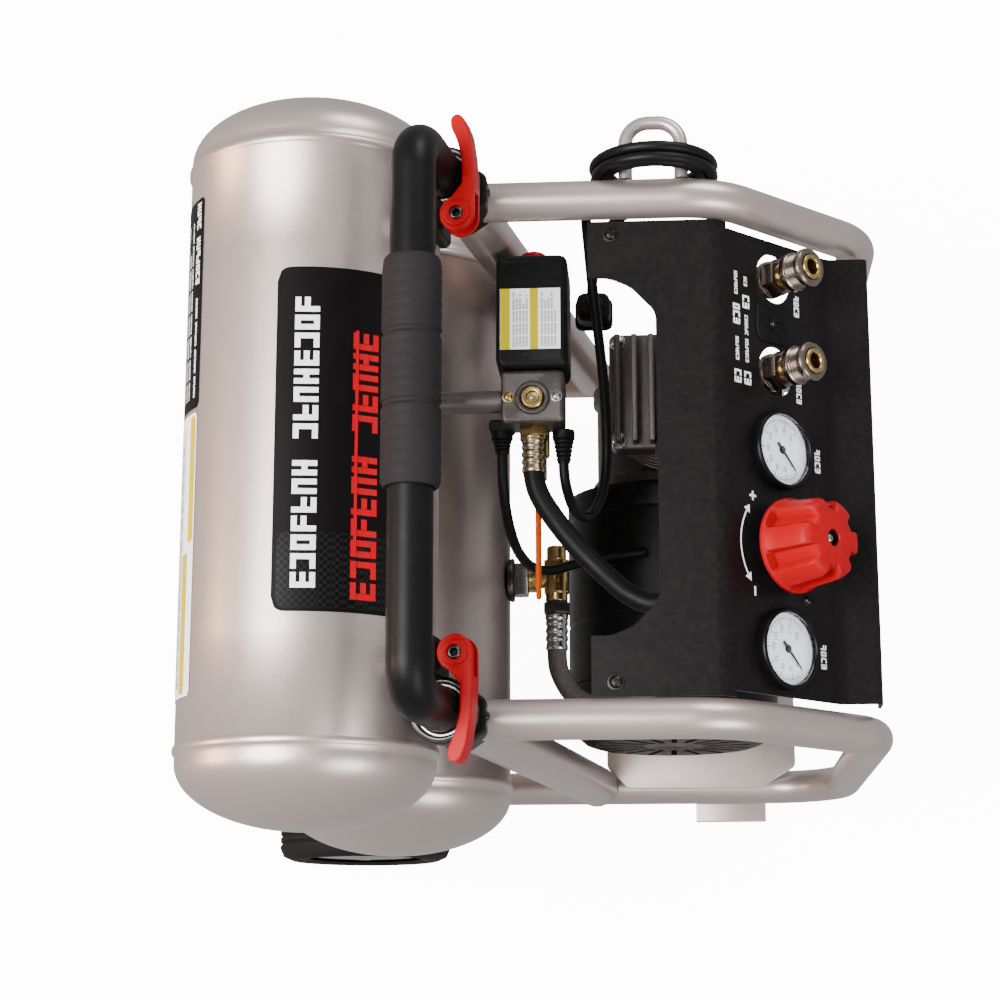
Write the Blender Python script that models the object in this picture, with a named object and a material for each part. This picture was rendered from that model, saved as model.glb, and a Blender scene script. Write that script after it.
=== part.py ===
"""Portable twin-tank air compressor with wheels and a telescoping handle.

Metres, +Z up, +Y to the rear (the tanks), +X to the right of someone facing
the control panel.  The origin is on the floor under the middle of the machine.
"""
import math

import bmesh
import bpy
from mathutils import Matrix, Vector

MM = 0.001
GAP = 0.3 * MM                # clearance left between pieces that touch

# Air tanks: horizontal cylinders with domed ends, one above the other.
TANK_RADIUS = 81 * MM
TANK_WALL = 2 * MM
TANK_HALF_LENGTH = 235 * MM
TANK_SEAM_X = 187 * MM
UPPER_TANK = (144 * MM, 460 * MM)      # y, z of the axis
LOWER_TANK = (113 * MM, 249 * MM)

# Frame tubes.
RAIL_X = 168 * MM
RAIL_RADIUS = 12.7 * MM
TUBE_WALL = 1.5 * MM
TOP_RAIL_Z = 466 * MM
LOW_RAIL_Z = 40 * MM
FRONT_TUBE_Y = -214.3 * MM
RAIL_BACK_Y = 178 * MM

# Leaning masts that the handle slides in.
MAST_RADIUS = 16 * MM
MAST_BORE = 14.2 * MM
MAST_SLOPE = 0.17                      # how far back for each unit of height
MAST_TOP_Z = 514 * MM
MAST_FOOT_Z = 55.6 * MM
MAST_Y_AT_FLOOR = -32.7 * MM
HANDLE_RADIUS = 13.5 * MM
HANDLE_CORNER = 22 * MM
HANDLE_BAR_Z = 583 * MM
HANDLE_LEG_BOTTOM_Z = 128 * MM
GRIP_LENGTH = 139 * MM
GRIP_X = 21 * MM                       # the sleeve sits off centre on the bar
GRIP_RADIUS = 18 * MM

# Cam lever clamps at the mast tops.
COLLAR_RADIUS = 20 * MM
COLLAR_Z = 511 * MM
COLLAR_LOW = -10 * MM                  # ring and ears, along the mast from there
COLLAR_HIGH = 4 * MM
EAR_HIGH = 24 * MM
LEVER_RISE = 14.5 * MM
CAM_INWARD = 31.5 * MM                 # pivot, from the mast axis
CAM_FORWARD = 13 * MM
LEVER_LENGTH = 64 * MM
LEVER_HEIGHT = 16 * MM
LEVER_HEAD_RADIUS = 11 * MM
CAM_PIN_RADIUS = 4 * MM
EAR_BACK = 16 * MM

# Wheels.
WHEEL_RADIUS = 66.5 * MM
WHEEL_Y = 159 * MM
WHEEL_INNER_X = 189 * MM
WHEEL_OUTER_X = 226 * MM
AXLE_RADIUS = 6 * MM

# Base plate and feet.
BASE_FRONT_Y = -179 * MM
BASE_BACK_Y = -27.2 * MM
BASE_THICKNESS = 3 * MM
BASE_Z = 53.2 * MM
FOOT_Y = -130 * MM

# Folded control panel.
PANEL_THICKNESS = 2 * MM
PANEL_TOP_Z = 464 * MM
PANEL_HALF_WIDTH = 154 * MM
PANEL_BEND_Y = -116 * MM
PANEL_LOW_BEND = (-191 * MM, 389 * MM)
PANEL_LIP_Y = -218 * MM
PANEL_SKIRT_Z = 366 * MM
PANEL_BACK_Y = -33 * MM
FACE_CENTRE = (-153.5 * MM, 426.5 * MM)  # y, z on the sloping face
TANK_GAUGE_X = -120 * MM
KNOB_X = -55 * MM
TOOL_GAUGE_X = 9 * MM
COUPLER_XS = (62 * MM, 125 * MM)
GAUGE_RADIUS = 26 * MM
KNOB_RADIUS = 30.5 * MM

# Motor and pump.
MOTOR_Y = -84 * MM
MOTOR_Z = 150 * MM
MOTOR_RADIUS = 78 * MM
CYLINDER_X = 86 * MM

# Pressure switch and its manifold.
MANIFOLD_X = 52 * MM
SWITCH_X = 111 * MM
SWITCH_Y = 6 * MM
SWITCH_Z = 396 * MM                    # middle height of the manifold
PIPE_Z = 402 * MM                      # pipe to the upper tank
RELIEF_Y = 5 * MM
RELIEF_Z = 362 * MM

# Check valve in front of the lower tank.
CHECK_VALVE = (-41 * MM, -2 * MM, 260 * MM)

# Power cord.
CORD_RADIUS = 3.5 * MM
COIL_X = 190.8 * MM
COIL_Y = -76 * MM
COIL_Z = 452 * MM
COIL_INNER = 27.6 * MM
COIL_OUTER = 42.4 * MM
COIL_HALF_WIDTH = 7.3 * MM

PALETTE = {
    "champagne_silver": ((0.55, 0.50, 0.48), 0.35, 0.7),
    "black_satin": ((0.02, 0.02, 0.022), 0.4, 0.2),
    "black_panel": ((0.03, 0.028, 0.03), 0.45, 0.1),
    "black_plastic": ((0.015, 0.015, 0.016), 0.5, 0.0),
    "rubber": ((0.02, 0.02, 0.02), 0.8, 0.0),
    "signal_red": ((0.65, 0.01, 0.02), 0.35, 0.0),
    "brass": ((0.75, 0.52, 0.22), 0.3, 1.0),
    "cast_grey": ((0.38, 0.36, 0.34), 0.55, 0.8),
    "zinc": ((0.6, 0.6, 0.6), 0.3, 1.0),
    "wheel_grey": ((0.6, 0.58, 0.56), 0.5, 0.1),
    "orange": ((0.9, 0.2, 0.02), 0.4, 0.2),
}


# ---------------------------------------------------------------- scene tools
def clear_scene():
    for obj in list(bpy.data.objects):
        bpy.data.objects.remove(obj, do_unlink=True)


def material(name, piece):
    colour, roughness, metallic = PALETTE[name]
    mat = bpy.data.materials.new(piece + "_" + name)
    mat.use_nodes = True
    shader = mat.node_tree.nodes["Principled BSDF"]
    shader.inputs["Base Color"].default_value = (*colour, 1.0)
    shader.inputs["Roughness"].default_value = roughness
    shader.inputs["Metallic"].default_value = metallic
    return mat


def add_object(name, bm, mat_name, matrix=None, smooth=True):
    """Turn a bmesh into a named object with its own material."""
    bmesh.ops.recalc_face_normals(bm, faces=bm.faces)
    mesh = bpy.data.meshes.new(name)
    bm.to_mesh(mesh)
    bm.free()
    if smooth:
        mesh.shade_smooth()
        mesh.set_sharp_from_angle(angle=math.radians(35))
    obj = bpy.data.objects.new(name, mesh)
    bpy.context.scene.collection.objects.link(obj)
    if mat_name:
        obj.data.materials.append(material(mat_name, name))
    if matrix is not None:
        obj.matrix_world = matrix
    return obj


def guide(name, bm, matrix=None):
    """A cutter or an added lump: never part of the finished object itself."""
    obj = add_object(name, bm, None, matrix, smooth=False)
    obj.hide_render = True
    obj.display_type = "WIRE"
    return obj


def combine(obj, other, operation):
    mod = obj.modifiers.new(operation.lower() + "_" + other.name, "BOOLEAN")
    mod.operation = operation
    mod.solver = "EXACT"
    mod.object = other


def cut(obj, other):
    combine(obj, other, "DIFFERENCE")


def join(obj, other):
    combine(obj, other, "UNION")


# -------------------------------------------------------------- shape builders
def along(axis):
    """Rotation that takes +Z to the given direction."""
    return Vector((0, 0, 1)).rotation_difference(Vector(axis)).to_matrix().to_4x4()


def place(x, y, z, axis=(0, 0, 1)):
    return Matrix.Translation((x, y, z)) @ along(axis)


def turned(profile, sides, phase=0.0):
    """Turn (radius, height) points about Z.  A profile with no point on the
    axis is closed into a ring."""
    bm = bmesh.new()
    rings = []
    for radius, height in profile:
        if radius < 1e-7:
            rings.append([bm.verts.new((0, 0, height))])
            continue
        ring = []
        for i in range(sides):
            angle = phase + 2 * math.pi * i / sides
            ring.append(bm.verts.new((radius * math.cos(angle), radius * math.sin(angle), height)))
        rings.append(ring)
    pairs = list(zip(rings, rings[1:]))
    if len(rings[0]) > 1 and len(rings[-1]) > 1:
        pairs.append((rings[-1], rings[0]))
    for low, high in pairs:
        for i in range(sides):
            j = (i + 1) % sides
            if len(low) == 1 and len(high) == 1:
                continue
            if len(low) == 1:
                bm.faces.new((low[0], high[j], high[i]))
            elif len(high) == 1:
                bm.faces.new((low[i], low[j], high[0]))
            else:
                bm.faces.new((low[i], low[j], high[j], high[i]))
    return bm


def rod(radius, low, high, sides=16, phase=0.0):
    return turned([(0, low), (radius, low), (radius, high), (0, high)], sides, phase)


def ring(inner, outer, low, high, sides=20):
    return turned([(inner, low), (outer, low), (outer, high), (inner, high)], sides)


def stack(steps, sides=16):
    """Solid of revolution from (radius, low, high) steps."""
    profile = [(0, steps[0][1])]
    for radius, low, high in steps:
        profile += [(radius, low), (radius, high)]
    profile.append((0, steps[-1][2]))
    return turned(profile, sides)


def block(size, centre=(0, 0, 0), chamfer=0.0, segments=1):
    bm = bmesh.new()
    bmesh.ops.create_cube(bm, size=1.0)
    bmesh.ops.scale(bm, vec=size, verts=bm.verts)
    bmesh.ops.translate(bm, vec=centre, verts=bm.verts)
    if chamfer:
        bmesh.ops.bevel(bm, geom=list(bm.edges), offset=chamfer, segments=segments,
                        profile=0.5, affect="EDGES")
    return bm


def plate(outline, low, high):
    """Extrude an outline in the XY plane from one height to another."""
    bm = bmesh.new()
    bottom = [bm.verts.new((x, y, low)) for x, y in outline]
    top = [bm.verts.new((x, y, high)) for x, y in outline]
    bm.faces.new(list(reversed(bottom)))
    bm.faces.new(top)
    count = len(outline)
    for i in range(count):
        j = (i + 1) % count
        bm.faces.new((bottom[i], bottom[j], top[j], top[i]))
    return bm


def sweep(points, outer, inner, sides):
    """Tube along a path of points; hollow and open-ended when inner > 0."""
    bm = bmesh.new()
    points = [Vector(p) for p in points]
    tangents = []
    for i, point in enumerate(points):
        before = points[max(i - 1, 0)]
        after = points[min(i + 1, len(points) - 1)]
        tangents.append((after - before).normalized())
    side = tangents[0].orthogonal().normalized()
    shells = {"outer": [], "inner": []}
    for point, tangent in zip(points, tangents):
        side = (side - tangent * side.dot(tangent)).normalized()
        other = tangent.cross(side)
        for key, radius in (("outer", outer), ("inner", inner)):
            if radius <= 0:
                continue
            loop = []
            for i in range(sides):
                angle = 2 * math.pi * i / sides
                offset = side * math.cos(angle) + other * math.sin(angle)
                loop.append(bm.verts.new(point + offset * radius))
            shells[key].append(loop)
    for loops in shells.values():
        for low, high in zip(loops, loops[1:]):
            for i in range(sides):
                j = (i + 1) % sides
                bm.faces.new((low[i], low[j], high[j], high[i]))
    for end in (0, -1):
        if inner > 0:
            for i in range(sides):
                j = (i + 1) % sides
                out_loop = shells["outer"][end]
                in_loop = shells["inner"][end]
                bm.faces.new((out_loop[i], out_loop[j], in_loop[j], in_loop[i]))
        else:
            bm.faces.new(shells["outer"][end])
    return bm


def bent_path(corners, radii, steps=3):
    """Straight runs joined by arcs; radii has one value for each inner corner."""
    corners = [Vector(c) for c in corners]
    path = [corners[0]]
    for i, radius in enumerate(radii, start=1):
        here = corners[i]
        into = (here - corners[i - 1]).normalized()
        out = (corners[i + 1] - here).normalized()
        turn = into.angle(out)
        setback = radius * math.tan(turn / 2)
        start = here - into * setback
        normal = (out - into * out.dot(into)).normalized()
        centre = start + normal * radius
        for k in range(steps + 1):
            angle = turn * k / steps
            path.append(centre - normal * radius * math.cos(angle) + into * radius * math.sin(angle))
    path.append(corners[-1])
    return path


def smooth_path(route, spacing):
    """Catmull-Rom curve through the route, read off at an even spacing."""
    points = [Vector(p) for p in route]
    points = [points[0] * 2 - points[1]] + points + [points[-1] * 2 - points[-2]]
    fine = []
    for i in range(1, len(points) - 2):
        a, b, c, d = points[i - 1:i + 3]
        for k in range(40):
            t = k / 40
            fine.append(0.5 * ((2 * b) + (c - a) * t + (2 * a - 5 * b + 4 * c - d) * t ** 2
                               + (3 * b - a - 3 * c + d) * t ** 3))
    fine.append(points[-2])
    total = sum((q - p).length for p, q in zip(fine, fine[1:]))
    count = max(2, round(total / spacing))
    result = [fine[0]]
    run = 0.0
    for p, q in zip(fine, fine[1:]):
        run += (q - p).length
        if run >= total / count * len(result) and len(result) < count:
            result.append(q)
    result.append(fine[-1])
    return result


def soft_tube(name, route, radius, mat_name, resolution=2):
    """A flexible tube or cable: a poly curve with a round bevel and caps."""
    curve = bpy.data.curves.new(name, "CURVE")
    curve.dimensions = "3D"
    curve.bevel_depth = radius
    curve.bevel_resolution = resolution
    curve.use_fill_caps = True
    points = smooth_path(route, radius * 5)
    spline = curve.splines.new("POLY")
    spline.points.add(len(points) - 1)
    for target, point in zip(spline.points, points):
        target.co = (*point, 1.0)
    obj = bpy.data.objects.new(name, curve)
    bpy.context.scene.collection.objects.link(obj)
    curve.materials.append(material(mat_name, name))
    return obj


def side_name(sign):
    return "left" if sign < 0 else "right"


# ------------------------------------------------------------------ air tanks
def tank_profile(radius, end, seam, dome_steps, ribbed):
    """(radius, height) points of one tank shell from -end to +end."""
    shoulder = end - radius * 0.5
    half = []
    for k in range(dome_steps + 1):
        angle = math.pi / 2 * k / dome_steps
        half.append((radius * math.sin(angle), shoulder + radius * 0.5 * math.cos(angle)))
    half[0] = (0, end)
    if ribbed:
        rib = 1.6 * MM
        half += [(radius, seam + 5 * MM), (radius + rib, seam + 3 * MM),
                 (radius + rib, seam - 3 * MM), (radius, seam - 5 * MM)]
    lower = [(r, -h) for r, h in half]
    return lower + list(reversed(half))


def make_tank(name, y, z, port):
    """A hollow steel tank; the port opens the inside to the outside."""
    lie = place(0, y, z, (1, 0, 0))
    shell = turned(tank_profile(TANK_RADIUS, TANK_HALF_LENGTH, TANK_SEAM_X, 4, True), 28)
    tank = add_object(name, shell, "champagne_silver", lie)
    inner = turned(tank_profile(TANK_RADIUS - TANK_WALL, TANK_HALF_LENGTH - TANK_WALL, 0, 3, False), 16)
    hollow = guide(name + "_inside", inner, lie)
    bore = guide(name + "_port", rod(6 * MM, -60 * MM, 60 * MM, 8), port)
    join(hollow, bore)
    cut(tank, hollow)


def make_tanks():
    upper_port = place(MANIFOLD_X, 90 * MM, PIPE_Z, (0, 1, 0))
    lower_port = place(CHECK_VALVE[0], 36 * MM, CHECK_VALVE[2], (0, 1, 0))
    make_tank("upper_tank", *UPPER_TANK, upper_port)
    make_tank("lower_tank", *LOWER_TANK, lower_port)
    low = LOWER_TANK[1] + TANK_RADIUS + 1.2 * MM
    high = UPPER_TANK[1] - TANK_RADIUS - 3.6 * MM
    pipe = ring(5 * MM, 9 * MM, low, high, 14)
    add_object("tank_link_pipe", pipe, "champagne_silver", Matrix.Translation((-100 * MM, 128.5 * MM, 0)))


# ---------------------------------------------------------------- frame tubes
def mast_matrix(sign, z):
    """Frame on the mast axis at height z: Z up the mast, X across the machine."""
    lean = math.atan(MAST_SLOPE)
    point = Matrix.Translation((sign * RAIL_X, MAST_Y_AT_FLOOR + MAST_SLOPE * z, z))
    return point @ Matrix.Rotation(-lean, 4, "X")


def make_side_frame(sign):
    x = sign * RAIL_X
    corners = [(x, 27.5 * MM, TOP_RAIL_Z), (x, -116 * MM, TOP_RAIL_Z), (x, FRONT_TUBE_Y, 366 * MM),
               (x, FRONT_TUBE_Y, LOW_RAIL_Z), (x, RAIL_BACK_Y, LOW_RAIL_Z)]
    path = bent_path(corners, (60 * MM, 50 * MM, 55 * MM))
    tube = sweep(path, RAIL_RADIUS, RAIL_RADIUS - TUBE_WALL, 10)
    add_object("side_frame_" + side_name(sign), tube, "champagne_silver")


def make_mast(sign):
    lean = math.cos(math.atan(MAST_SLOPE))
    length = (MAST_TOP_Z - MAST_FOOT_Z) / lean
    tube = ring(MAST_BORE, MAST_RADIUS, 0, length, 16)
    add_object("mast_" + side_name(sign), tube, "champagne_silver", mast_matrix(sign, MAST_FOOT_Z))


def make_handle():
    """One bent tube: two legs that slide in the masts and the bar above them."""
    top_z = HANDLE_BAR_Z
    def on_axis(sign, z):
        return (sign * RAIL_X, MAST_Y_AT_FLOOR + MAST_SLOPE * z, z)
    corners = [on_axis(-1, HANDLE_LEG_BOTTOM_Z), on_axis(-1, top_z), on_axis(1, top_z),
               on_axis(1, HANDLE_LEG_BOTTOM_Z)]
    path = bent_path(corners, (HANDLE_CORNER, HANDLE_CORNER), 5)
    tube = sweep(path, HANDLE_RADIUS, HANDLE_RADIUS - TUBE_WALL, 12)
    add_object("handle_tube", tube, "black_satin")
    half = GRIP_LENGTH / 2
    bore = HANDLE_RADIUS + 0.8 * MM
    profile = [(bore, -half), (bore + 1.5 * MM, -half), (GRIP_RADIUS - 1 * MM, -half + 10 * MM)]
    for third in (-1, 1):
        centre = third * half / 3
        profile += [(GRIP_RADIUS, centre - 2.5 * MM), (GRIP_RADIUS - 1 * MM, centre),
                    (GRIP_RADIUS, centre + 2.5 * MM)]
    profile += [(GRIP_RADIUS - 1 * MM, half - 10 * MM), (bore + 1.5 * MM, half), (bore, half)]
    bar_y = MAST_Y_AT_FLOOR + MAST_SLOPE * top_z
    add_object("handle_grip", turned(profile, 14), "rubber", place(GRIP_X, bar_y, top_z, (1, 0, 0)))


# --------------------------------------------------------------- cam clamps
def make_collar(sign):
    """Split ring round the mast's top with two ears that the cam draws together."""
    name = "clamp_collar_" + side_name(sign)
    at = mast_matrix(sign, COLLAR_Z)
    collar = add_object(name, rod(COLLAR_RADIUS, COLLAR_LOW, COLLAR_HIGH, 16), "black_plastic", at)
    inward = -sign
    height = EAR_HIGH - COLLAR_LOW
    middle = (EAR_HIGH + COLLAR_LOW) / 2
    front = -CAM_FORWARD + LEVER_HEAD_RADIUS + 0.5 * MM
    deep = EAR_BACK - front
    ear = block((26 * MM, deep, height), (inward * 30 * MM, front + deep / 2, middle), 3 * MM)
    join(collar, guide(name + "_ear", ear, at))
    cut(collar, guide(name + "_bore", rod(MAST_RADIUS + 2 * GAP, -50 * MM, 50 * MM, 16), at))
    slot = block((40 * MM, 3 * MM, 90 * MM), (inward * 35 * MM, 7 * MM, 0))
    cut(collar, guide(name + "_slot", slot, at))
    across = at @ place(inward * CAM_INWARD, 0, LEVER_RISE, (0, 1, 0))
    cut(collar, guide(name + "_bolt_hole", rod(3.4 * MM, -50 * MM, 50 * MM, 12), across))


def make_clamp_bolt(sign):
    """Bolt through the collar's ears, with the cross pin the lever turns on."""
    name = "clamp_bolt_" + side_name(sign)
    at = mast_matrix(sign, COLLAR_Z)
    axis = at @ place(-sign * CAM_INWARD, 0, LEVER_RISE, (0, 1, 0))
    seat = EAR_BACK + GAP
    shank = turned([(0, -CAM_FORWARD), (3 * MM, -CAM_FORWARD), (3 * MM, seat), (6.5 * MM, seat),
                    (6.5 * MM, seat + 6 * MM), (0, seat + 6 * MM)], 12)
    bolt = add_object(name, shank, "zinc", axis)
    pin_at = at @ Matrix.Translation((-sign * CAM_INWARD, -CAM_FORWARD, LEVER_RISE))
    pin = rod(CAM_PIN_RADIUS, -LEVER_HEIGHT / 2, LEVER_HEIGHT / 2, 14)
    join(bolt, guide(name + "_pin", pin, pin_at))


def lever_outline(sign):
    """Round cam head that runs out into a slightly bowed arm."""
    outline = []
    for k in range(11):
        angle = math.radians(20 + 255 * k / 10)
        outline.append((LEVER_HEAD_RADIUS * math.cos(angle), LEVER_HEAD_RADIUS * math.sin(angle)))
    arm = [(19 * MM, -11 * MM), (38 * MM, -10 * MM), (54 * MM, -7.6 * MM), (LEVER_LENGTH - 1 * MM, -4 * MM),
           (LEVER_LENGTH + 1.5 * MM, 0), (LEVER_LENGTH - 1 * MM, 4 * MM), (57 * MM, 4 * MM), (48 * MM, 0),
           (36 * MM, -3.2 * MM), (19 * MM, -3.2 * MM)]
    return [(sign * x, y) for x, y in outline + arm]


def make_lever(sign):
    name = "clamp_lever_" + side_name(sign)
    at = mast_matrix(sign, COLLAR_Z)
    at = at @ Matrix.Translation((-sign * CAM_INWARD, -CAM_FORWARD, LEVER_RISE))
    half = LEVER_HEIGHT / 2
    lever = add_object(name, plate(lever_outline(sign), -half, half), "signal_red", at)
    cut(lever, guide(name + "_hole", rod(CAM_PIN_RADIUS + GAP, -30 * MM, 30 * MM, 14), at))
    slot = block((46 * MM, 50 * MM, 8 * MM), (-sign * 9 * MM, 6 * MM, 0))
    cut(lever, guide(name + "_slot", slot, at))


# -------------------------------------------------------------------- wheels
def make_wheel(sign):
    width = WHEEL_OUTER_X - WHEEL_INNER_X
    at = place(sign * WHEEL_INNER_X, WHEEL_Y, WHEEL_RADIUS, (sign, 0, 0))
    rim = 44 * MM
    tyre = [(rim, 2 * MM), (58 * MM, 0), (64 * MM, 3 * MM), (WHEEL_RADIUS, 9 * MM),
            (WHEEL_RADIUS, width - 9 * MM), (64 * MM, width - 3 * MM), (58 * MM, width), (rim, width - 2 * MM)]
    add_object("tyre_" + side_name(sign), turned(tyre, 24), "rubber", at)
    bore = AXLE_RADIUS + GAP
    hub = [(bore, 2 * MM), (18 * MM, 2 * MM), (20 * MM, 10 * MM), (36 * MM, 12 * MM), (rim - GAP, 4 * MM),
           (rim - GAP, width - 4 * MM), (36 * MM, width - 8 * MM), (20 * MM, width - 7 * MM),
           (16 * MM, width - 2 * MM), (bore, width - 2 * MM)]
    add_object("wheel_hub_" + side_name(sign), turned(hub, 24), "wheel_grey", at)


def make_axle():
    reach = WHEEL_OUTER_X - 1 * MM
    add_object("axle", rod(AXLE_RADIUS, -reach, reach, 14), "zinc",
               place(0, WHEEL_Y, WHEEL_RADIUS, (1, 0, 0)))
    # Channel across the back that carries the axle on the lower rails.
    depth = 34 * MM
    low = LOW_RAIL_Z + RAIL_RADIUS + GAP
    outline = [(-depth / 2, low), (depth / 2, low), (depth / 2, 86 * MM), (-depth / 2, 86 * MM)]
    inner = [(-depth / 2 - 1 * MM, low + 3 * MM), (depth / 2 + 1 * MM, low + 3 * MM),
             (depth / 2 + 1 * MM, 90 * MM), (-depth / 2 - 1 * MM, 90 * MM)]
    turn = Matrix(((0, 0, 1, 0), (1, 0, 0, WHEEL_Y), (0, 1, 0, 0), (0, 0, 0, 1)))
    half = 180 * MM
    bracket = add_object("axle_bracket", plate(outline, -half, half), "champagne_silver", turn)
    cut(bracket, guide("axle_bracket_inside", plate(inner, -half + 4 * MM, half - 4 * MM), turn))
    bore = rod(AXLE_RADIUS + GAP, -half - 9 * MM, half + 9 * MM, 14)
    cut(bracket, guide("axle_bracket_bore", bore, place(0, WHEEL_Y, WHEEL_RADIUS, (1, 0, 0))))


# ------------------------------------------------------------ base and feet
def make_base():
    corner_y = FRONT_TUBE_Y + 58 * MM
    tab_y = FOOT_Y + 29 * MM
    inset = RAIL_X - RAIL_RADIUS - 2 * MM
    # The sheet lies over the rails, with its corners cut off beside the masts and the bends.
    edge = RAIL_X + 2 * MM
    right = [(inset, BASE_FRONT_Y), (edge, BASE_FRONT_Y + 27 * MM), (edge, BASE_BACK_Y - 21 * MM),
             (inset, BASE_BACK_Y - 4 * MM)]
    left = [(-x, y) for x, y in reversed(right)]
    base = add_object("base_plate", plate(right + left, BASE_Z, BASE_Z + BASE_THICKNESS),
                      "champagne_silver", smooth=False)
    # A folded leg on each side goes down and under the rail.
    low = LOW_RAIL_Z - RAIL_RADIUS - 3 * MM
    middle_y = (corner_y + tab_y) / 2
    width = tab_y - corner_y
    for sign in (-1, 1):
        web_top = BASE_Z + 1 * MM
        web_at = (sign * (inset - 1.5 * MM), middle_y, (web_top + low) / 2)
        web = block((3 * MM, width, web_top - low), web_at)
        join(base, guide("base_web_" + side_name(sign), web))
        reach = 194 * MM - inset + 3 * MM
        tab = block((reach, width, 2.8 * MM), (sign * (194 * MM - reach / 2), middle_y, low + 1.4 * MM))
        join(base, guide("base_tab_" + side_name(sign), tab))
    for sign in (-1, 1):
        foot = turned([(0, 0), (17 * MM, 0), (14 * MM, 24 * MM), (0, 24 * MM)], 18)
        foot = add_object("foot_" + side_name(sign), foot, "rubber",
                          Matrix.Translation((sign * RAIL_X, FOOT_Y, 0)))
        saddle = rod(RAIL_RADIUS + GAP, -40 * MM, 40 * MM, 16)
        saddle_at = place(sign * RAIL_X, FOOT_Y, LOW_RAIL_Z, (0, 1, 0))
        cut(foot, guide("foot_saddle_" + side_name(sign), saddle, saddle_at))


# -------------------------------------------------------------- control panel
def face_matrix(x, lift=0.0):
    """Frame on the sloping face: Z out of the face, X across, Y up the slope."""
    slope = math.atan2(PANEL_TOP_Z - PANEL_LOW_BEND[1], PANEL_BEND_Y - PANEL_LOW_BEND[0])
    y, z = FACE_CENTRE
    at = Matrix.Translation((x, y, z)) @ Matrix.Rotation(slope, 4, "X")
    return at @ Matrix.Translation((0, 0, lift))


def panel_outline():
    """Folded sheet in side view: the outside line, then back along the inside."""
    t = PANEL_THICKNESS
    low_y, low_z = PANEL_LOW_BEND
    ease = t * math.tan(math.radians(22.5))
    outside = [(PANEL_BACK_Y, PANEL_TOP_Z), (PANEL_BEND_Y, PANEL_TOP_Z), (low_y, low_z),
               (PANEL_LIP_Y, low_z), (PANEL_LIP_Y, PANEL_SKIRT_Z)]
    inside = [(PANEL_LIP_Y + t, PANEL_SKIRT_Z), (PANEL_LIP_Y + t, low_z - t), (low_y + ease, low_z - t),
              (PANEL_BEND_Y + ease, PANEL_TOP_Z - t), (PANEL_BACK_Y, PANEL_TOP_Z - t)]
    return outside + inside


def make_panel():
    turn = Matrix(((0, 0, 1, 0), (1, 0, 0, 0), (0, 1, 0, 0), (0, 0, 0, 1)))
    half = PANEL_HALF_WIDTH
    panel = add_object("control_panel", plate(panel_outline(), -half, half), "black_panel", turn, False)
    wide = 116 * MM
    narrow = 93 * MM
    back = -20 * MM
    notch = [(-wide, back), (-wide, -46 * MM), (-110 * MM, -60 * MM), (-narrow, -76 * MM),
             (narrow, -76 * MM), (110 * MM, -60 * MM), (wide, -46 * MM), (wide, back)]
    cut(panel, guide("panel_notch", plate(notch, 440 * MM, 490 * MM)))
    # The sloping face and the lip are a little narrower, to clear the frame tubes.
    for sign in (-1, 1):
        trim = block((20 * MM, 150 * MM, 190 * MM), (sign * 160 * MM, -197 * MM, 400 * MM))
        cut(panel, guide("panel_trim_" + side_name(sign), trim))
    holes = [(TANK_GAUGE_X, 22.5 * MM), (TOOL_GAUGE_X, 22.5 * MM), (KNOB_X, 17 * MM)]
    holes += [(x, 19 * MM) for x in COUPLER_XS]
    for k, (x, radius) in enumerate(holes):
        hole = rod(radius, -12 * MM, 12 * MM, 20)
        cut(panel, guide("panel_hole_%d" % k, hole, face_matrix(x)))


def make_gauge(name, x):
    """Flanged steel case; the needle turns on its own axis above the dial."""
    case = [(0, -26 * MM), (21.5 * MM, -26 * MM), (21.5 * MM, GAP), (GAUGE_RADIUS, GAP), (GAUGE_RADIUS, 6 * MM),
            (GAUGE_RADIUS - 2.6 * MM, 7.2 * MM), (GAUGE_RADIUS - 3 * MM, 2.5 * MM), (0, 2.5 * MM)]
    add_object(name + "_gauge_case", turned(case, 20), "black_satin", face_matrix(x))
    needle = rod(2.6 * MM, 2.9 * MM, 4.1 * MM, 12)
    needle = add_object(name + "_gauge_needle", needle, "black_plastic", face_matrix(x))
    pointer = [(-1.1 * MM, -6 * MM), (1.1 * MM, -6 * MM), (0.5 * MM, 16.5 * MM), (-0.5 * MM, 16.5 * MM)]
    # At zero pressure the pointer rests at the lower left of the dial.
    swing = Matrix.Rotation(math.radians(135), 4, "Z")
    join(needle, guide(name + "_pointer", plate(pointer, 3.1 * MM, 3.9 * MM), face_matrix(x) @ swing))


def make_regulator():
    """One casting behind the face: regulator body and the outlet gallery."""
    body = stack([(14 * MM, -62 * MM, -44 * MM), (21 * MM, -44 * MM, -2.4 * MM), (16 * MM, -2.4 * MM, 1 * MM),
                  (20 * MM, 1 * MM, 8 * MM)], 16)
    regulator = add_object("regulator", body, "cast_grey", face_matrix(KNOB_X))
    gallery = block((190 * MM, 20 * MM, 20 * MM), (90 * MM, 0, -42 * MM), 3 * MM)
    join(regulator, guide("regulator_gallery", gallery, face_matrix(KNOB_X)))
    middle = face_matrix(KNOB_X) @ Vector((0, 0, -34 * MM))
    inlet = rod(10 * MM, 0, 34 * MM, 12)
    join(regulator, guide("regulator_inlet", inlet, place(*middle, (-0.5, 0.866, 0))))


def knob_profile():
    """Six-lobed outline of the knob in plan."""
    outline = []
    for k in range(36):
        angle = 2 * math.pi * k / 36
        radius = KNOB_RADIUS - 2.2 * MM + 2.2 * MM * math.cos(6 * angle)
        outline.append((radius * math.cos(angle), radius * math.sin(angle)))
    return outline


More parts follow.
